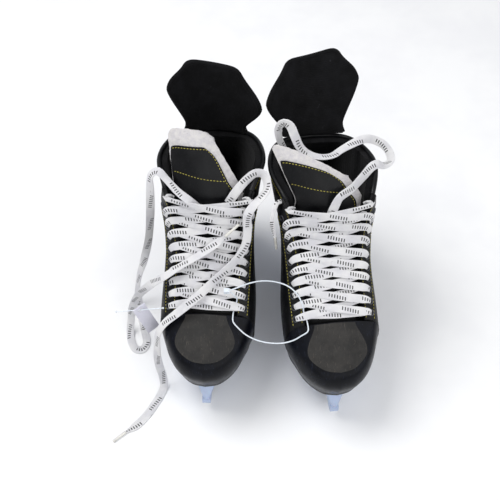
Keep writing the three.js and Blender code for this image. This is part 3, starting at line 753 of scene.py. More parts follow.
@dataclass
class Boot:
    """The boot of one skate: its shell, facings, lining, toe cap, sole and their trim."""

    stance: Stance
    palette: Palette
    wall: float = 3.0
    facing: float = 0.785
    collar: float = 0.5

    def band(
        self,
        skin: Skin,
        side: float,
        us: tuple[float, float],
        vs: tuple[float, float],
        lift: float,
    ) -> Placer:
        """A placer over part of a skin, whose two shares run from 0 to 1 over that part."""

        def place(s: np.ndarray, t: np.ndarray) -> Points:
            u = us[0] + (us[1] - us[0]) * s
            return self.stance.world(skin.at(u, vs[0] + (vs[1] - vs[0]) * t, lift, side))

        return place

    def wrap(self, first: float, vs: Margins, lift: Callable[[np.ndarray], np.ndarray]) -> Placer:
        """A placer that runs up one side of the boot, round the heel and back along the other side."""

        def place(s: np.ndarray, t: np.ndarray) -> Points:
            u = first + (1 - first) * (1 - np.abs(2 * s - 1))
            low, high = vs(u)
            points = QUARTER_SKIN.at(u, low + (high - low) * t, lift(u))
            return self.stance.world(both_halves(points, s))

        return place

    def line(self, side: float, u: np.ndarray, v: np.ndarray, lift: float) -> tuple[Points, Points]:
        """A line on the quarter and the surface's direction along it, in the shared frame."""
        low, high = (QUARTER_SKIN.at(u, v, step, side) for step in (lift, lift + 1))
        return self.stance.world(low), unit(self.stance.direction(high - low))

    def shell(self) -> None:
        """The two quarters, each a stiff wall from the toe seam to the heel seam, and the heel stay."""
        word = self.stance.side.word
        for side in (1, -1):
            name = "lateral" if side == self.stance.side.value else "medial"
            bm = bmesh.new()
            part = (QUARTER_SKIN, side, (0.0, 0.9995), (0.0, 1.0))
            add_shell(bm, 72, 40, self.band(*part, 0.0), self.band(*part, -self.wall), rim=0.0008)
            finish_piece(
                f"{word}_shell_{name}", bm, self.palette["coated_nylon_shell"],
                replaces=[f"{word}_quarter_{name}"],
            )
        bm = bmesh.new()
        half = 0.1

        def stay(lift: float) -> Placer:
            def place(s: np.ndarray, t: np.ndarray) -> Points:
                narrow = half * (1 - 0.35 * t)
                u = 1 - np.abs(2 * s - 1) * narrow
                return self.stance.world(both_halves(QUARTER_SKIN.at(u, 0.95 * t, lift), s))

            return place

        add_shell(bm, 24, 40, stay(1.5), stay(0.15), rim=0.0005)
        finish_piece(f"{word}_heel_strip", bm, self.palette["pressed_vinyl"],
                     replaces=[f"{word}_heel_stay"])

    def facings(self) -> None:
        """The two vinyl strips that hold the eyelets, with their rings."""
        word = self.stance.side.word
        rings = bmesh.new()
        for side in (1, -1):
            name = "lateral" if side == self.stance.side.value else "medial"
            bm = bmesh.new()
            part = (QUARTER_SKIN, side, (0.004, self.collar), (self.facing, 0.997))
            add_shell(bm, 56, 12, self.band(*part, 1.9), self.band(*part, 0.05), rim=0.0006)
            finish_piece(
                f"{word}_facing_{name}", bm, self.palette["pressed_vinyl"],
                replaces=[f"{word}_eyestay_{name}"],
            )
            places = eyelet_share(np.arange(EYELETS))
            spots, normals = self.line(side, places, np.full(EYELETS, EYELET_ROW), 2.0)
            for spot, normal in zip(spots, normals):
                add_ring(rings, spot, normal, 0.0031, 0.0007)
        finish_piece(f"{word}_eyelets", rings, self.palette["dark_plated_steel"])

    def binding(self) -> None:
        """The rolled edge of the collar, from facing to facing round the heel."""
        word = self.stance.side.word
        u = np.concatenate([np.linspace(self.collar, 1, 60), np.linspace(1, self.collar, 60)[1:]])
        side = np.where(np.arange(len(u)) < 60, 1, -1)
        points = QUARTER_SKIN.at(u, np.full_like(u, 0.995), -1.6)
        points[:, 0] *= side
        path = even_path(self.stance.world(points), 150)
        bm = bmesh.new()
        add_tube(bm, path, 0.0026, 12)
        finish_piece(f"{word}_collar_binding", bm, self.palette["pressed_vinyl"])

    def seams(self) -> None:
        """Every sewn line on the shell, in yellow waxed thread."""
        word = self.stance.side.word
        bm = bmesh.new()
        for side in (1, -1):
            for v, lift, ends in ((0.797, 2.0, (0.01, 0.49)), (0.975, 2.0, (0.01, 0.47))):
                u = np.linspace(*ends, 90)
                add_stitches(bm, *self.line(side, u, np.full_like(u, v), lift))
            u = np.linspace(0.52, 0.985, 80)
            add_stitches(bm, *self.line(side, u, np.full_like(u, 0.955), 0.15))
        finish_piece(f"{word}_seams", bm, self.palette["yellow_waxed_thread"])

    def lining(self) -> None:
        """The padded lining, thin beside the forefoot and thick round the ankle."""
        word = self.stance.side.word
        back = self.wall + 0.4

        def vs(u: np.ndarray) -> tuple[np.ndarray, np.ndarray]:
            return np.full_like(u, 0.13), 0.79 + 0.2 * rise((u - 0.4) / 0.12)

        bm = bmesh.new()

        def thick(u: np.ndarray) -> np.ndarray:
            return -back - 2.5 - 4.3 * rise((u - 0.25) / 0.3)

        def outside(u: np.ndarray) -> np.ndarray:
            return np.full_like(u, -back)

        outer = self.wrap(0.02, vs, outside)
        add_shell(bm, 120, 36, outer, self.wrap(0.02, vs, thick), rim=0.0012)
        ruffle(bm, 0.02, 0.0006)
        finish_piece(f"{word}_lining", bm, self.palette["brushed_knit_lining"],
                     replaces=[f"{word}_liner"])

    def toe(self) -> None:
        """The moulded toe cap with its rubbed top panel."""
        word = self.stance.side.word

        def whole(brim: Callable[[np.ndarray], np.ndarray], lift: float, first: float = 0.0) -> Placer:
            def place(s: np.ndarray, t: np.ndarray) -> Points:
                u = first + (1 - first) * (1 - np.abs(2 * s - 1))
                low = brim(u)
                return self.stance.world(both_halves(TOE_SKIN.at(u, low + (1 - low) * t, lift), s))

            return place

        bm = bmesh.new()
        add_shell(bm, 96, 48, whole(np.zeros_like, 0.4), whole(np.zeros_like, -self.wall), weld=True)
        finish_piece(f"{word}_toe", bm, self.palette["moulded_toe_cap"],
                     replaces=[f"{word}_toe_cap"])
        bm = bmesh.new()

        def brim(u: np.ndarray) -> np.ndarray:
            return 0.80 - 0.25 * rise(u / 0.5)

        add_shell(bm, 96, 30, whole(brim, 1.5, 0.02), whole(brim, 0.0, 0.02), weld=True)
        ruffle(bm, 0.012, 0.0002)
        finish_piece(f"{word}_toe_panel", bm, self.palette["rubbed_toe_panel"])

    def soles(self) -> None:
        """The outsole, the insole board and the loose footbed."""
        word = self.stance.side.word
        outline = (*reversed(TOE_SKIN.net[0]), *QUARTER_SKIN.net[0][1:])
        edge = [p[:2] + (0,) for p in outline]
        plates = (
            ("outsole", 0.5, -4.8, -0.3, "pressed_outsole", "sole", 0.0008),
            ("insole_board", 5.0, 0.3, 2.8, "pressed_outsole", "lining", 0.0),
            ("footbed", 6.0, 3.0, 7.0, "foam_footbed", "footbed", 0.0012),
        )
        for name, inset, bottom, top, finish, slot, rim in plates:

            def level(height: float, inset: float = inset) -> Placer:
                def place(s: np.ndarray, t: np.ndarray) -> Points:
                    t = 0.004 + 0.992 * t
                    spot = curve(edge, t)
                    way = unit(curve(edge, np.minimum(t + 1e-3, 1)) - curve(edge, np.maximum(t - 1e-3, 0)))
                    spot = spot + inset * np.stack([-way[:, 1], way[:, 0], 0 * t], 1)
                    x = np.maximum(spot[:, 0], 0) * (2 * s - 1)
                    z = QUARTER_SKIN.sole(spot[:, 1]) + height
                    return self.stance.world(np.stack([x, spot[:, 1], z], 1))

                return place

            bm = bmesh.new()
            add_shell(bm, 16, 70, level(top), level(bottom), rim=rim)
            finish_piece(f"{word}_{name}_plate", bm, self.palette[finish],
                         replaces=[f"{word}_{name}"])

    def build(self) -> None:
        """Builds every piece of the boot."""
        self.shell()
        self.facings()
        self.binding()
        self.seams()
        self.lining()
        self.toe()
        self.soles()


# ------------------------------------------------------------------ tongue and tendon guard


@dataclass
class Tongue:
    """A felt tongue with a vinyl face, free above the throat, where it folds."""

    stance: Stance
    palette: Palette
    base: tuple[tuple[float, ...], ...]
    edge: tuple[tuple[float, ...], ...]
    line: tuple[tuple[float, float], ...] = (
        (-88, 105), (-72, 118.5), (-51, 138), (-26, 158.5), (-6, 188), (4, 214),
    )
    bulge: float = 5.0
    thickness: float = 6.0
    drop: float = 0.0083
    share: float = 0.62

    def middle(self, s: np.ndarray, t: np.ndarray) -> Points:
        """Points on the tongue's front face, from side to side and from its toe end to its free edge."""
        low = np.clip(t / self.share, 0, 1)
        line = [(0, *p) for p in self.line]
        spot = curve(line, low)
        way = unit(curve(line, np.minimum(low + 1e-3, 1)) - curve(line, np.maximum(low - 1e-3, 0)))
        x = (33 + 2.5 * low) * (2 * s - 1)
        fall = -self.drop * x * x
        lower = np.stack([x, spot[:, 1] - way[:, 2] * fall, spot[:, 2] + way[:, 1] * fall], 1)
        high = np.clip((t - self.share) / (1 - self.share), 0, 1)
        foot, top = curve(self.base, s), curve(self.edge, s)
        round_off = 1 - 0.11 * np.abs(2 * s - 1) ** 7
        upper = foot + (top - foot) * (high * round_off)[:, None]
        swell = self.bulge * np.sin(math.pi * high) * (1 - (2 * s - 1) ** 2)
        upper = upper + swell[:, None] * np.array([0, -0.8, 0.6])
        share = rise((t - self.share + 0.04) / 0.08)[:, None]
        return lower * (1 - share) + upper * share

    def front(self, s: np.ndarray, t: np.ndarray) -> Points:
        """Which way the front face looks, in the skate's own frame."""
        step = 5e-3
        across = self.middle(np.minimum(s + step, 1), t) - self.middle(np.maximum(s - step, 0), t)
        up = self.middle(s, np.minimum(t + step, 1)) - self.middle(s, np.maximum(t - step, 0))
        return unit(np.cross(across, up))

    def face(self, depth: float, sides: Margins, ends: tuple[float, float]) -> Placer:
        """A placer at a depth behind the front face, within margins at both sides given as shares."""

        def place(s: np.ndarray, t: np.ndarray) -> Points:
            t = ends[0] + (ends[1] - ends[0]) * t
            low, high = sides(t)
            s = low + (1 - low - high) * s
            return self.stance.world(self.middle(s, t) - depth * self.front(s, t))

        return place

    def blend(self, obj: bpy.types.Object) -> None:
        """Bakes a piece's placement into its mesh; the points where the tongue leaves the throat are worked out
        but not used.
        """
        low, high = self.stance.world(np.array([[0, 2, 209], [0, 9, 226]]))
        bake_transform(obj)

    def build(self) -> None:
        """Builds the felt body, its vinyl face and the seams on it."""
        word = self.stance.side.word

        def none(t: np.ndarray) -> tuple[np.ndarray, np.ndarray]:
            return np.zeros_like(t), np.zeros_like(t)

        bm = bmesh.new()
        front, back = (self.face(depth, none, (0, 1)) for depth in (0.0, self.thickness + 0.9))
        add_shell(bm, 48, 100, front, back, rim=0.0034)
        ruffle(bm, 0.007, 0.0006)
        felt = finish_piece(
            f"{word}_tongue_felt", bm, self.palette["pressed_wool_felt"], body=None,
            replaces=[f"{word}_tongue_lower", f"{word}_tongue_upper"],
        )
        self.blend(felt)

        def margin(t: np.ndarray) -> tuple[np.ndarray, np.ndarray]:
            swell = rise((t - 0.5) / 0.2)
            tip = np.clip((t - 0.8) / 0.1, 0, 1) ** 3
            return 0.01 + 0.01 * swell + 0.03 * tip, 0.02 + 0.13 * swell + 0.14 * tip

        top = 0.9
        bm = bmesh.new()
        add_shell(bm, 30, 84, self.face(-1.5, margin, (0.01, top)), self.face(0.9, margin, (0.01, top)),
                  rim=0.0006)
        face = finish_piece(f"{word}_tongue_face", bm, self.palette["pressed_vinyl"], body=None)
        self.blend(face)
        bm = bmesh.new()
        t = np.linspace(0.5, top - 0.012, 60)
        s = np.linspace(0, 1, 60)
        left, right = margin(t)
        rows = [(1 - right - 0.03, t)]
        for height, tilt in ((top - 0.014, 0.0), (0.72, -0.05)):
            left, right = (side + 0.03 for side in margin(np.full(60, height)))
            rows.append((left + (1 - left - right) * s, height + tilt * (s - 0.5)))
        for across, up in rows:
            front = self.front(across, up)
            path = self.stance.world(self.middle(across, up) + 1.6 * front)
            add_stitches(bm, path, self.stance.direction(front))
        seams = finish_piece(f"{word}_tongue_seams", bm, self.palette["yellow_waxed_thread"], body=None)
        self.blend(seams)


@dataclass
class TendonGuard:
    """The padded six-sided guard over the tendon, curved round the back of the leg."""

    stance: Stance
    palette: Palette
    foot: tuple[float, float] = (120.5, 204.5)
    wrap: float = 150.0
    thickness: float = 5.5

    def edge(self, t: np.ndarray, outer: bool) -> Points:
        """Points down one edge: outwards and up the guard's own slope."""
        height = self.stance.guard_height
        corners = (
            ((35, 0), (33, 14), (50, 60), (32, height))
            if outer
            else ((-35, 0), (-33, 10), (-51, 38), (-28, 0.88 * height))
        )
        run = np.clip(t, 0, 1) * 3
        straight = np.stack([np.interp(run, range(4), [c[k] for c in corners]) for k in range(2)], 1)
        smooth = curve(corners, np.clip(t, 0, 1))
        return 0.4 * straight + 0.6 * smooth

    def dip(self, s: np.ndarray) -> np.ndarray:
        """How far the top edge lies under a straight line: dished a little, and rounded at both corners."""
        return 1.5 * np.sin(math.pi * s) + 6 * np.abs(2 * s - 1) ** 9

    def at(self, s: np.ndarray, t: np.ndarray, depth: float | np.ndarray) -> Points:
        """Points in the guard, depth millimetres in front of its back face."""
        inner, outer = self.edge(t, False), self.edge(t, True)
        flat = inner + (outer - inner) * s[:, None]
        p, q = flat[:, 0], flat[:, 1] - self.dip(s) * rise((t - 0.7) / 0.3)
        slope = math.radians(90 - self.stance.lean)
        turn = np.arctan(2 * p / self.wrap)
        forward = p**2 / self.wrap + depth * np.cos(turn)
        return np.stack(
            [
                self.stance.side.value * (p - depth * np.sin(turn)),
                self.foot[0] + q * math.cos(slope) - forward * math.sin(slope),
                self.foot[1] + q * math.sin(slope) + forward * math.cos(slope),
            ],
            1,
        )

    def placer(self, depth: float, inset: float = 0.0, dish: float = 0.0) -> Placer:
        """A placer at a depth, drawn in from the edges by a share, with a dished middle."""

        def place(s: np.ndarray, t: np.ndarray) -> Points:
            s = inset + (1 - 2 * inset) * s
            t = inset + (1 - 2 * inset) * t
            pad = dish * (1 - (2 * s - 1) ** 4) * (1 - (2 * t - 1) ** 4)
            return self.stance.world(self.at(s, t, depth + pad))

        return place

    def build(self) -> None:
        """Builds the padded body, the moulded back and the rolled edge."""
        word = self.stance.side.word
        low, high = self.stance.world(np.array([[0, 121, 202], [0, 124, 220]]))

        def bend(obj: bpy.types.Object) -> None:
            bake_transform(obj)

        bm = bmesh.new()
        add_shell(bm, 40, 44, self.placer(self.thickness, 0, 1.2), self.placer(1.4), rim=0.0016)
        ruffle(bm, 0.018, 0.0005)
        pad = finish_piece(f"{word}_guard_pad", bm, self.palette["brushed_knit_lining"], body=None,
                           replaces=[f"{word}_tendon_guard"])
        bend(pad)
        bm = bmesh.new()
        add_shell(bm, 40, 44, self.placer(1.6, 0.01), self.placer(0.0, 0.01, -0.6), rim=0.0005)
        bend(finish_piece(f"{word}_guard_back", bm, self.palette["pressed_vinyl"], body=None))
        t = np.linspace(0.02, 1, 70)
        rim = np.concatenate([
            self.at(np.zeros(70), t, 2.9),
            self.at(np.linspace(0, 1, 50), np.ones(50), 2.9)[1:],
            self.at(np.ones(70), t[::-1], 2.9)[1:],
        ])
        bm = bmesh.new()
        add_tube(bm, even_path(self.stance.world(rim), 160), 0.0030, 12)
        bend(finish_piece(f"{word}_guard_binding", bm, self.palette["brushed_knit_lining"], body=None))


# ------------------------------------------------------------------ laces


@dataclass
class Lacing:
    """The crossed flat lace of one skate."""

    stance: Stance
    palette: Palette
    width: float = 8.6
    thickness: float = 1.5
    crown: float = 5.0

    def over(self, u: float, v: float, lift: float, side: float) -> Points:
        """A point on the facing or just off it, in the skate's own frame."""
        return QUARTER_SKIN.at(np.array([u]), np.array([v]), lift, side)[0]

    def strand(self, start: int, end: int, side: float, crown: float, order: int) -> tuple[Points, Points]:
        """One crossing from an eyelet, over its facing, and in under the facing opposite.

        Args:
            start: the eyelet that it comes out of.
            end: the eyelet opposite that it goes in behind.
            side: the half that it starts on.
            crown: how far it arches over the tongue, in millimetres.
            order: which strand this is, for its small irregular shifts.

        Returns:
            The strand's middle line and its width profile, in millimetres.
        """
        u, w = eyelet_share(start), eyelet_share(end)
        slack = 0.5 * math.sin(order * 2.4)
        a = self.over(u, EYELET_ROW, 1.2, side)
        b = self.over(u, EYELET_ROW + 0.028, 3.9, side)
        c = self.over(u, 0.988, 4.1, side)
        d = self.over(w, 0.992, 3.4, -side)
        e = self.over(w, 0.99, -2.6, -side)
        f = self.over(w, 0.93, -5.2, -side)
        d[0] += 2.2 * side
        e[0] += 4.0 * side
        ahead = self.over(u + 0.04, 0.9, 0, side) - self.over(u, 0.9, 0, side)
        lift = unit(np.array([0, -ahead[2], ahead[1]]))
        m1 = c + (d - c) * 0.33 + lift * crown * 0.85
        m2 = c + (d - c) * 0.66 + lift * (crown * 0.85 + slack)
        path = even_path([a, b, c, m1, m2, d, e, f], 44)
        share = np.linspace(0, 1, 44)
        width = 5.2 + (self.width - 5.2 + slack * 0.6) * rise(share / 0.14)
        width = width - 3.6 * rise((share - 0.42) / 0.4)
        return path, width

    def build(self) -> None:
        """Builds all crossings and the bar across the lowest eyelets as one piece."""
        word = self.stance.side.word
        bm = bmesh.new()
        strands = [(0, 0, 1, 3.2)]
        for i in range(EYELETS - 1):
            strands += [(i, i + 1, 1, self.crown + 0.7), (i, i + 1, -1, self.crown - 0.9)]
        shift = 0.0
        for order, (start, end, side, crown) in enumerate(strands):
            path, width = self.strand(start, end, side, crown, order + 3 * self.stance.side.value)
            middle = eyelet_share(start) + 0.02
            ahead = self.over(middle + 0.03, 0.9, 0, side) - self.over(middle, 0.9, 0, side)
            facing = np.array([0.0, -ahead[2], ahead[1]])
            outward = unit(path * np.array([1, 0, 0])) * 0.55
            add_ribbon(bm, self.stance.world(path), self.stance.direction(unit(facing)[None] + outward),
                       width / 1000, self.thickness / 1000, shift)
            shift += 19.0 + 7.3 * (order % 3)
        finish_piece(f"{word}_lacing", bm, self.palette["braided_cotton_lace"],
                     replaces=[f"{word}_lace_laced"])


def add_ribbon(
    bm: bmesh.types.BMesh, path: Points, facing: Points, width: np.ndarray, thickness: float, shift: float
) -> None:
    """Adds a flat braid along a path, its UV map in millimetres.

    Args:
        bm: the bmesh that takes it.
        path: its middle line in metres.
        facing: which way its face looks.
        width: its width at each point, in metres.
        thickness: its thickness in metres.
        shift: where on the braid's pattern it starts, in millimetres.
    """
    rows = len(path) - 1
    normal, across = path_frames(path, facing, 4)
    run = run_length(path)
    widths = np.broadcast_to(width, len(path))

    def face(way: float) -> Placer:
        def place(s: np.ndarray, t: np.ndarray) -> Points:
            row = np.rint(t * rows).astype(int)
            out = 2 * s - 1
            lens = 1 - 0.55 * np.abs(out) ** 3
            spot = path[row] + across[row] * (out * widths[row] / 2)[:, None]
            return spot + normal[row] * (way * lens * thickness / 2)[:, None]

        return place

    layer = bm.loops.layers.uv.verify()
    before = set(bm.faces)
    add_shell(bm, 6, rows, face(1), face(-1), (1000 * float(widths.max()), 1.0))
    for made in bm.faces:
        if made not in before:
            for loop in made.loops:
                loop[layer].uv.y = float(loop[layer].uv.y) * run[-1] * 1000 + shift


@dataclass(frozen=True)
class LooseEnd:
    """One free end of a lace: its route in millimetres, its aglet's tip and how it is laid, which is not used."""

    name: str
    aglet: str
    tip: tuple[float, float, float]
    route: tuple[tuple[float, float, float], ...]
    twists: float
    lay: str
    width: float = 9.4
    thickness: float = 1.7

    def path(self) -> Points:
        """The lace's middle line in metres, set down on the floor where it lies flat."""
        path = even_path(self.route, max(40, int(run_length(np.array(self.route, float))[-1] / 2.6)))
        path[:, 2] = np.maximum(path[:, 2], 2.4)
        low = 1 - rise((path[:, 2] - 3) / 12)
        path[:, 2] -= 1.3 * low
        return path / 1000

    def build(self, palette: Palette) -> None:
        path = self.path()
        run = run_length(path)
        free = rise((path[:, 2] * 1000 - 4) / 25)
        swing = 0.7 * np.sin(2 * math.pi * self.twists * run / run[-1]) * free
        raised, laid = np.array([0, -0.5, 0.86]), np.array([0, 0, 1.0])
        facing = unit(raised[None] * free[:, None] + laid * (1 - free)[:, None])
        normal, across = path_frames(path, facing, 14)
        turned = normal * np.cos(swing)[:, None] + across * np.sin(swing)[:, None]
        left = (run[-1] - run) * 1000
        width = (3.2 + (self.width - 3.2) * rise(left / 14)) / 1000
        bm = bmesh.new()
        add_ribbon(bm, path, turned, width, self.thickness / 1000, 11.0)
        lace = finish_piece(f"{self.name}_braid", bm, palette["braided_cotton_lace"],
                            replaces=[self.name])
        tip = np.array(self.tip) / 1000
        tip[2] = max(tip[2] - 0.0007, AGLET_REST) if self.tip[2] < 3 else tip[2]
        bm = bmesh.new()
        root = path[-1].copy()
        root[2] = max(root[2], AGLET_REST)
        add_tube(bm, np.linspace(root, tip, 12), np.linspace(0.00165, 0.0014, 12), 14)
        aglet = finish_piece(f"{self.name}_tip", bm, palette["rolled_lace_film"],
                             replaces=[self.aglet])
        tuple(path[0])
        round(float(run[-1]), 3)
        self.width / 1000


LOOSE_ENDS = (
    LooseEnd("right_lace_end_medial", "right_aglet_medial", (-176, -181, 2.4), (
        (-44, -6, 211), (-38, -2, 220), (-32, 2, 227), (-24, 9, 232), (-16, 14, 235),
        (-8, 14, 234), (-4, 9, 229), (-4, 1, 225),
        (-10, -7, 221), (-18, -14, 216), (-24, -20, 207), (-24, -24, 190), (-26, -33, 176),
        (-35, -44, 165), (-47, -54, 158), (-58, -63, 153), (-72, -74, 146), (-86, -83, 138),
        (-100, -89, 127), (-113, -94, 116), (-121, -98, 102), (-124, -101, 82), (-126, -103, 60),
        (-126, -104, 40), (-124, -106, 18), (-123, -112, 5), (-126, -122, 2.4), (-132, -134, 2.4),
        (-140, -148, 2.4), (-151, -161, 2.4), (-163, -170, 2.4)), 2.0, "loose"),
    LooseEnd("right_lace_end_lateral", "right_aglet_lateral", (-33, -24, 198), (
        (-76, -8, 205), (-80, -10, 214), (-86, -9, 221), (-97, 0, 224), (-108, 11, 229),
        (-117, 18, 234), (-125, 17, 228),
        (-127, 14, 212), (-130, 11, 180), (-134, 10, 150), (-138, 10, 127), (-143, 10, 105),
        (-149, 10, 83), (-157, 10, 56), (-162, 9, 30), (-163, 4, 11), (-161, -6, 3), (-157, -22, 2.4),
        (-152, -40, 2.4), (-149, -53, 2.4), (-153, -63, 2.4), (-162, -62, 2.4), (-168, -51, 2.4),
        (-170, -39, 5), (-168, -32, 18), (-165, -30, 36), (-161, -32, 53), (-154, -37, 76),
        (-146, -43, 97), (-136, -49, 117), (-125, -54, 136), (-112, -56, 150), (-95, -50, 160),
        (-74, -43, 171), (-58, -36, 180), (-47, -31, 187)), 3.0, "loose"),
    LooseEnd("left_lace_end_lateral", "left_aglet_lateral", (25, 46, 196), (
        (62, -21, 209), (65, -19, 221), (70, -15, 231), (83, -3, 231), (95, 11, 233), (105, 23, 235),
        (112, 28, 234), (118, 32, 228),
        (125, 41, 220), (131, 51, 215), (132, 60, 214), (129, 68, 216), (123, 73, 219),
        (115, 75, 222), (107, 73, 226), (98, 69, 228), (87, 62, 228), (76, 53, 229), (66, 44, 230),
        (54, 39, 233), (41, 38, 238), (31, 40, 246), (25, 45, 257), (20, 50, 267), (13, 52, 270),
        (8, 52, 262), (9, 51, 250), (13, 49, 238), (18, 48, 226), (22, 47, 214)), 2.0, "loose"),
    LooseEnd("left_lace_end_medial", "left_aglet_medial", (7, -27, 160), (
        (11, -9, 218), (6, -12, 217), (2, -20, 208), (1.5, -23, 200), (3, -25, 190),
        (5, -27, 180)), 0.0, "hanging", 4.6),
)


# ------------------------------------------------------------------ holder, tie and tag


@dataclass
class Chassis:
    """The moulded holder, its rivets, and the runner that it grips."""

    stance: Stance
    palette: Palette
    rail_width: float = 9.6
    rail: tuple[tuple[float, float], ...] = (
        (-130, 14), (-135, 17), (-135, 24), (-130, 27), (-45, 27), (-38, 25.5), (45, 25.5), (52, 27),
        (134, 27), (140, 22), (141, 15), (138, 12.5), (-126, 12.5),
    )
    towers: tuple[tuple[tuple[float, ...], ...], ...] = (
        ((22, -134, -40, 5.6), (32, -133, -45, 9.8), (42, -131, -48, 13), (50, -128, -46, 20),
         (54.7, -124, -36, 34)),
        ((22, 48, 138, 4.7), (34, 55, 134, 6.5), (46, 58, 132, 9), (56, 54, 134, 17), (60.7, 48, 138, 27)),
    )

    def tower(self, bm: bmesh.types.BMesh, rings: Sequence[Sequence[float]]) -> None:
        """Adds one hollow-looking tower, blunt in plan and flared to its flange."""
        grid = bmesh.ops.create_grid(bm, x_segments=48, y_segments=26, size=0.5)["verts"]
        shares = np.array([vert.co[:2] for vert in grid]) + 0.5
        z, low, high, half = curve(rings, shares[:, 1]).T
        angle = 2 * math.pi * shares[:, 0]
        blunt = [np.sign(f) * np.abs(f) ** (2 / 3) for f in (np.cos(angle), np.sin(angle))]
        points = np.stack([half * blunt[0], (low + high) / 2 + (high - low) / 2 * blunt[1], z], 1)
        for vert, point in zip(grid, self.stance.world(points)):
            vert.co = point
        bmesh.ops.remove_doubles(bm, verts=grid, dist=1e-6)
        rims = list({e for v in grid if v.is_valid for e in v.link_edges if e.is_boundary})
        bmesh.ops.holes_fill(bm, edges=rims, sides=0)

    def build(self) -> None:
        """Builds the holder and its rivets, and dresses the runner and the bolts."""
        word = self.stance.side.word
        bm = bmesh.new()
        half = self.rail_width / 2
        verts = [bm.verts.new(self.stance.world(np.array([[-half, y, z]]))[0]) for y, z in self.rail]
        face = bmesh.ops.contextual_create(bm, geom=verts)["faces"]
        made = bmesh.ops.extrude_face_region(bm, geom=face, use_keep_orig=True)["geom"]
        across = Vector(self.stance.direction(np.array([[2 * half / 1000, 0, 0]]))[0])
        bmesh.ops.translate(bm, verts=[g for g in made if isinstance(g, bmesh.types.BMVert)], vec=across)
        bmesh.ops.recalc_face_normals(bm, faces=bm.faces)
        bmesh.ops.bevel(bm, geom=list(bm.edges), offset=0.0012, segments=3, profile=0.5,
                        affect="EDGES", material=-1, clamp_overlap=True)
        for rings in self.towers:
            self.tower(bm, rings)
        finish_piece(f"{word}_holder_body", bm, self.palette["moulded_white_nylon"],
                     replaces=[f"{word}_holder"])
        bm = bmesh.new()
        spots = [(x, y, 53.4) for y in (-112, -88, -64, -46) for x in (-22, 22)]
        spots += [(x, y, 59.4) for y in (58, 82, 106, 128) for x in (-16, 16)]
        for x, y, z in spots:
            size = Matrix.Diagonal((0.0032, 0.0032, 0.0016, 1))
            place = Matrix.Translation(Vector(self.stance.world(np.array([[x, y, z - 1.2]]))[0]))
            bmesh.ops.create_uvsphere(bm, u_segments=16, v_segments=8, radius=1, matrix=place @ size)
        finish_piece(f"{word}_rivets", bm, self.palette["dark_plated_steel"])
        for name in ("runner", "runner_bolt_front", "runner_bolt_rear"):
            dress(f"{word}_{name}", self.palette["ground_stainless_steel"], 0.0003)


def dress(name: str, material: bpy.types.Material, round_over: float = 0.0) -> None:
    """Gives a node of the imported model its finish, and softens its edges.

    Args:
        name: the node.
        material: its finish.
        round_over: radius of the softened edges in metres, 0 for none.
    """
    node = frame["nodes"][name]
    node.data.materials.clear()
    node.data.materials.append(material)
    if round_over:
        bevel = node.modifiers.new("soft_edges", "BEVEL")
        bevel.width = round_over
        bevel.segments = 2
        bevel.limit_method = "ANGLE"
        bevel.angle_limit = math.radians(40)


@dataclass
class Tie:
    """The clear nylon loop that ties the skates together, with its lock, and the tag on its barb."""

    palette: Palette
    radius: float = 0.75
    route: tuple[tuple[float, float, float], ...] = (
        (-42.5, -73.5, 148.5), (-34, -71, 150.5), (-22, -66, 151), (-8, -63, 151), (6, -63, 149),
        (19, -67, 147), (29, -76, 144), (35.2, -87.7, 137.5), (34.8, -88.2, 132.5),
        (37, -90.5, 128.2), (39, -95.4, 124.2), (39.9, -99.3, 122.6), (40.3, -103.3, 121.9),
        (40.7, -107.3, 120.9), (34, -111, 119.5), (23, -117, 118), (8, -119.5, 117),
        (-10, -117, 117), (-25, -110, 117.5), (-35, -101, 119.5), (-40, -95.3, 120.9),
        (-39.8, -91.3, 121.9), (-39.7, -87.3, 122.3), (-39, -83.4, 124.2), (-37.2, -78.3, 128.2),
        (-35.1, -75.9, 132.5), (-35.6, -75.5, 137.5), (-41.7, -74.5, 146.8),
    )
    easing: int = 14
    barb: tuple[tuple[float, float, float], ...] = ((-115, -80, 124), (-166, -82, 119.5))

    def build(self) -> None:
        """Builds the loop and the barb, and dresses the lock and the tag."""
        nylon = self.palette["drawn_clear_nylon"]
        bm = bmesh.new()
        path = even_path(self.route, 260) / 1000
        for _ in range(self.easing):
            path[1:-1] += ((path[:-2] + path[2:]) / 2 - path[1:-1]) / 2
        add_tube(bm, path, self.radius / 1000, 12)
        finish_piece("nylon_loop", bm, nylon, replaces=["tie_loop"])
        dress("tie_lock", nylon, 0.0008)
        dress("price_tag", self.palette["plain_tag_card"])
        path = np.linspace(*np.array(self.barb) / 1000, 24)
        bm = bmesh.new()
        add_tube(bm, path, 0.0006, 10)
        for end in (path[0], path[-1]):
            bmesh.ops.create_uvsphere(
                bm, u_segments=12, v_segments=8, radius=0.0011, matrix=Matrix.Translation(Vector(end))
            )
        barb = finish_piece("nylon_barb", bm, nylon, replaces=["tag_barb"])
        tuple(path[0])
        round(float(run_length(path)[-1]), 4)
        frame["nodes"]["price_tag"]


# ------------------------------------------------------------------ studio


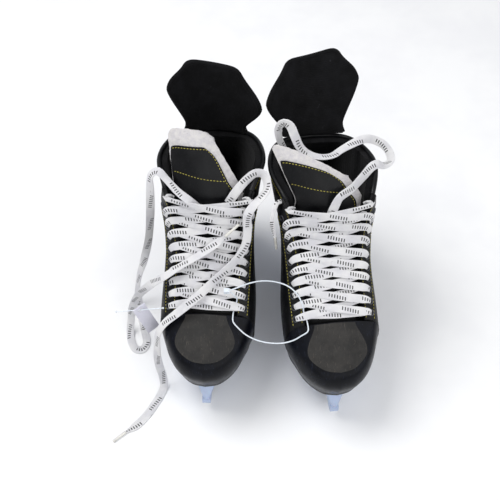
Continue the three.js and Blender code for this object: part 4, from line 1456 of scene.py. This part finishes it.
@dataclass
class Studio:
    """The camera, the soft lights and the pale floor."""

    eye: tuple[float, float, float] = (-0.0214, -0.4975, 0.79328)
    target: tuple[float, float, float] = (-0.0214, 0.0081, 0.110)
    lens: float = 52.56

    def camera(self) -> None:
        """Makes the scene's camera."""
        data = bpy.data.cameras.new("camera")
        data.lens = self.lens
        data.sensor_width = 36.0
        obj = bpy.data.objects.new("camera", data)
        obj.location = self.eye
        way = Vector(self.target) - Vector(self.eye)
        obj.rotation_euler = way.to_track_quat("-Z", "Y").to_euler()
        bpy.context.scene.collection.objects.link(obj)
        bpy.context.scene.camera = obj

    def light(self, name: str, place: Sequence[float], size: float, power: float) -> None:
        """Adds a soft square light that looks at the skates."""
        data = bpy.data.lights.new(name, "AREA")
        data.energy = power
        data.size = size
        obj = bpy.data.objects.new(name, data)
        obj.location = place
        obj.rotation_euler = (Vector(self.target) - Vector(place)).to_track_quat("-Z", "Y").to_euler()
        bpy.context.scene.collection.objects.link(obj)

    def build(self, palette: Palette) -> None:
        """Builds floor, world and lights."""
        self.light("key", (-0.7, 0.25, 1.5), 0.9, 17)
        self.light("fill", (0.9, -0.6, 1.1), 1.6, 8)
        self.light("front", (-0.1, -1.3, 0.8), 1.2, 3.5)
        world = bpy.data.worlds.new("studio")
        world.use_nodes = True
        sky = world.node_tree.nodes["Background"]
        sky.inputs["Color"].default_value = linear("#f4f6fa")
        sky.inputs["Strength"].default_value = 0.58
        bpy.context.scene.world = world
        bm = bmesh.new()
        bmesh.ops.create_grid(bm, x_segments=1, y_segments=1, size=3.0)
        mesh = bpy.data.meshes.new("floor")
        bm.to_mesh(mesh)
        bm.free()
        # Painted board: pale, matte, with a faint mottle.
        paint = Finish("painted_floor", "#f3f3f3", "#eeeeef", "#e0e0e0", Surface.MOULDED, 4.0, 0.02, 0.85,
                       mottle=120.0)
        mesh.materials.append(paint.make())
        floor = bpy.data.objects.new("floor", mesh)
        bpy.context.scene.collection.objects.link(floor)
        bpy.context.scene.view_settings.view_transform = "Standard"


TONGUE_TOPS = {
    Side.RIGHT: (((-37, 14, 214.5), (0, 5, 218.5), (37, 14, 214.5)),
                 ((-45, 58, 262), (-22, 54, 264), (-1, 51, 264))),
    Side.LEFT: (((-33, 12, 216), (0, 5, 218.5), (37, 14, 214.5)),
                ((-57, 59, 258), (-26, 46, 253), (21, 27, 234))),
}


def main() -> None:
    """Builds the camera, the cords, both skates and the tie."""
    logging.basicConfig(level=logging.INFO, format="%(name)s: %(message)s", stream=sys.stdout)
    palette = Palette()
    studio = Studio()
    studio.camera()
    for end in LOOSE_ENDS:
        end.build(palette)
    Tie(palette).build()
    for side, lean, height in ((Side.RIGHT, 9, 88), (Side.LEFT, 36, 92)):
        stance = Stance.read(side, lean, height)
        Chassis(stance, palette).build()
        Boot(stance, palette).build()
        base, edge = TONGUE_TOPS[side]
        Tongue(stance, palette, base, edge).build()
        TendonGuard(stance, palette).build()
        Lacing(stance, palette).build()
    studio.build(palette)


if __name__ == "__main__":
    main()
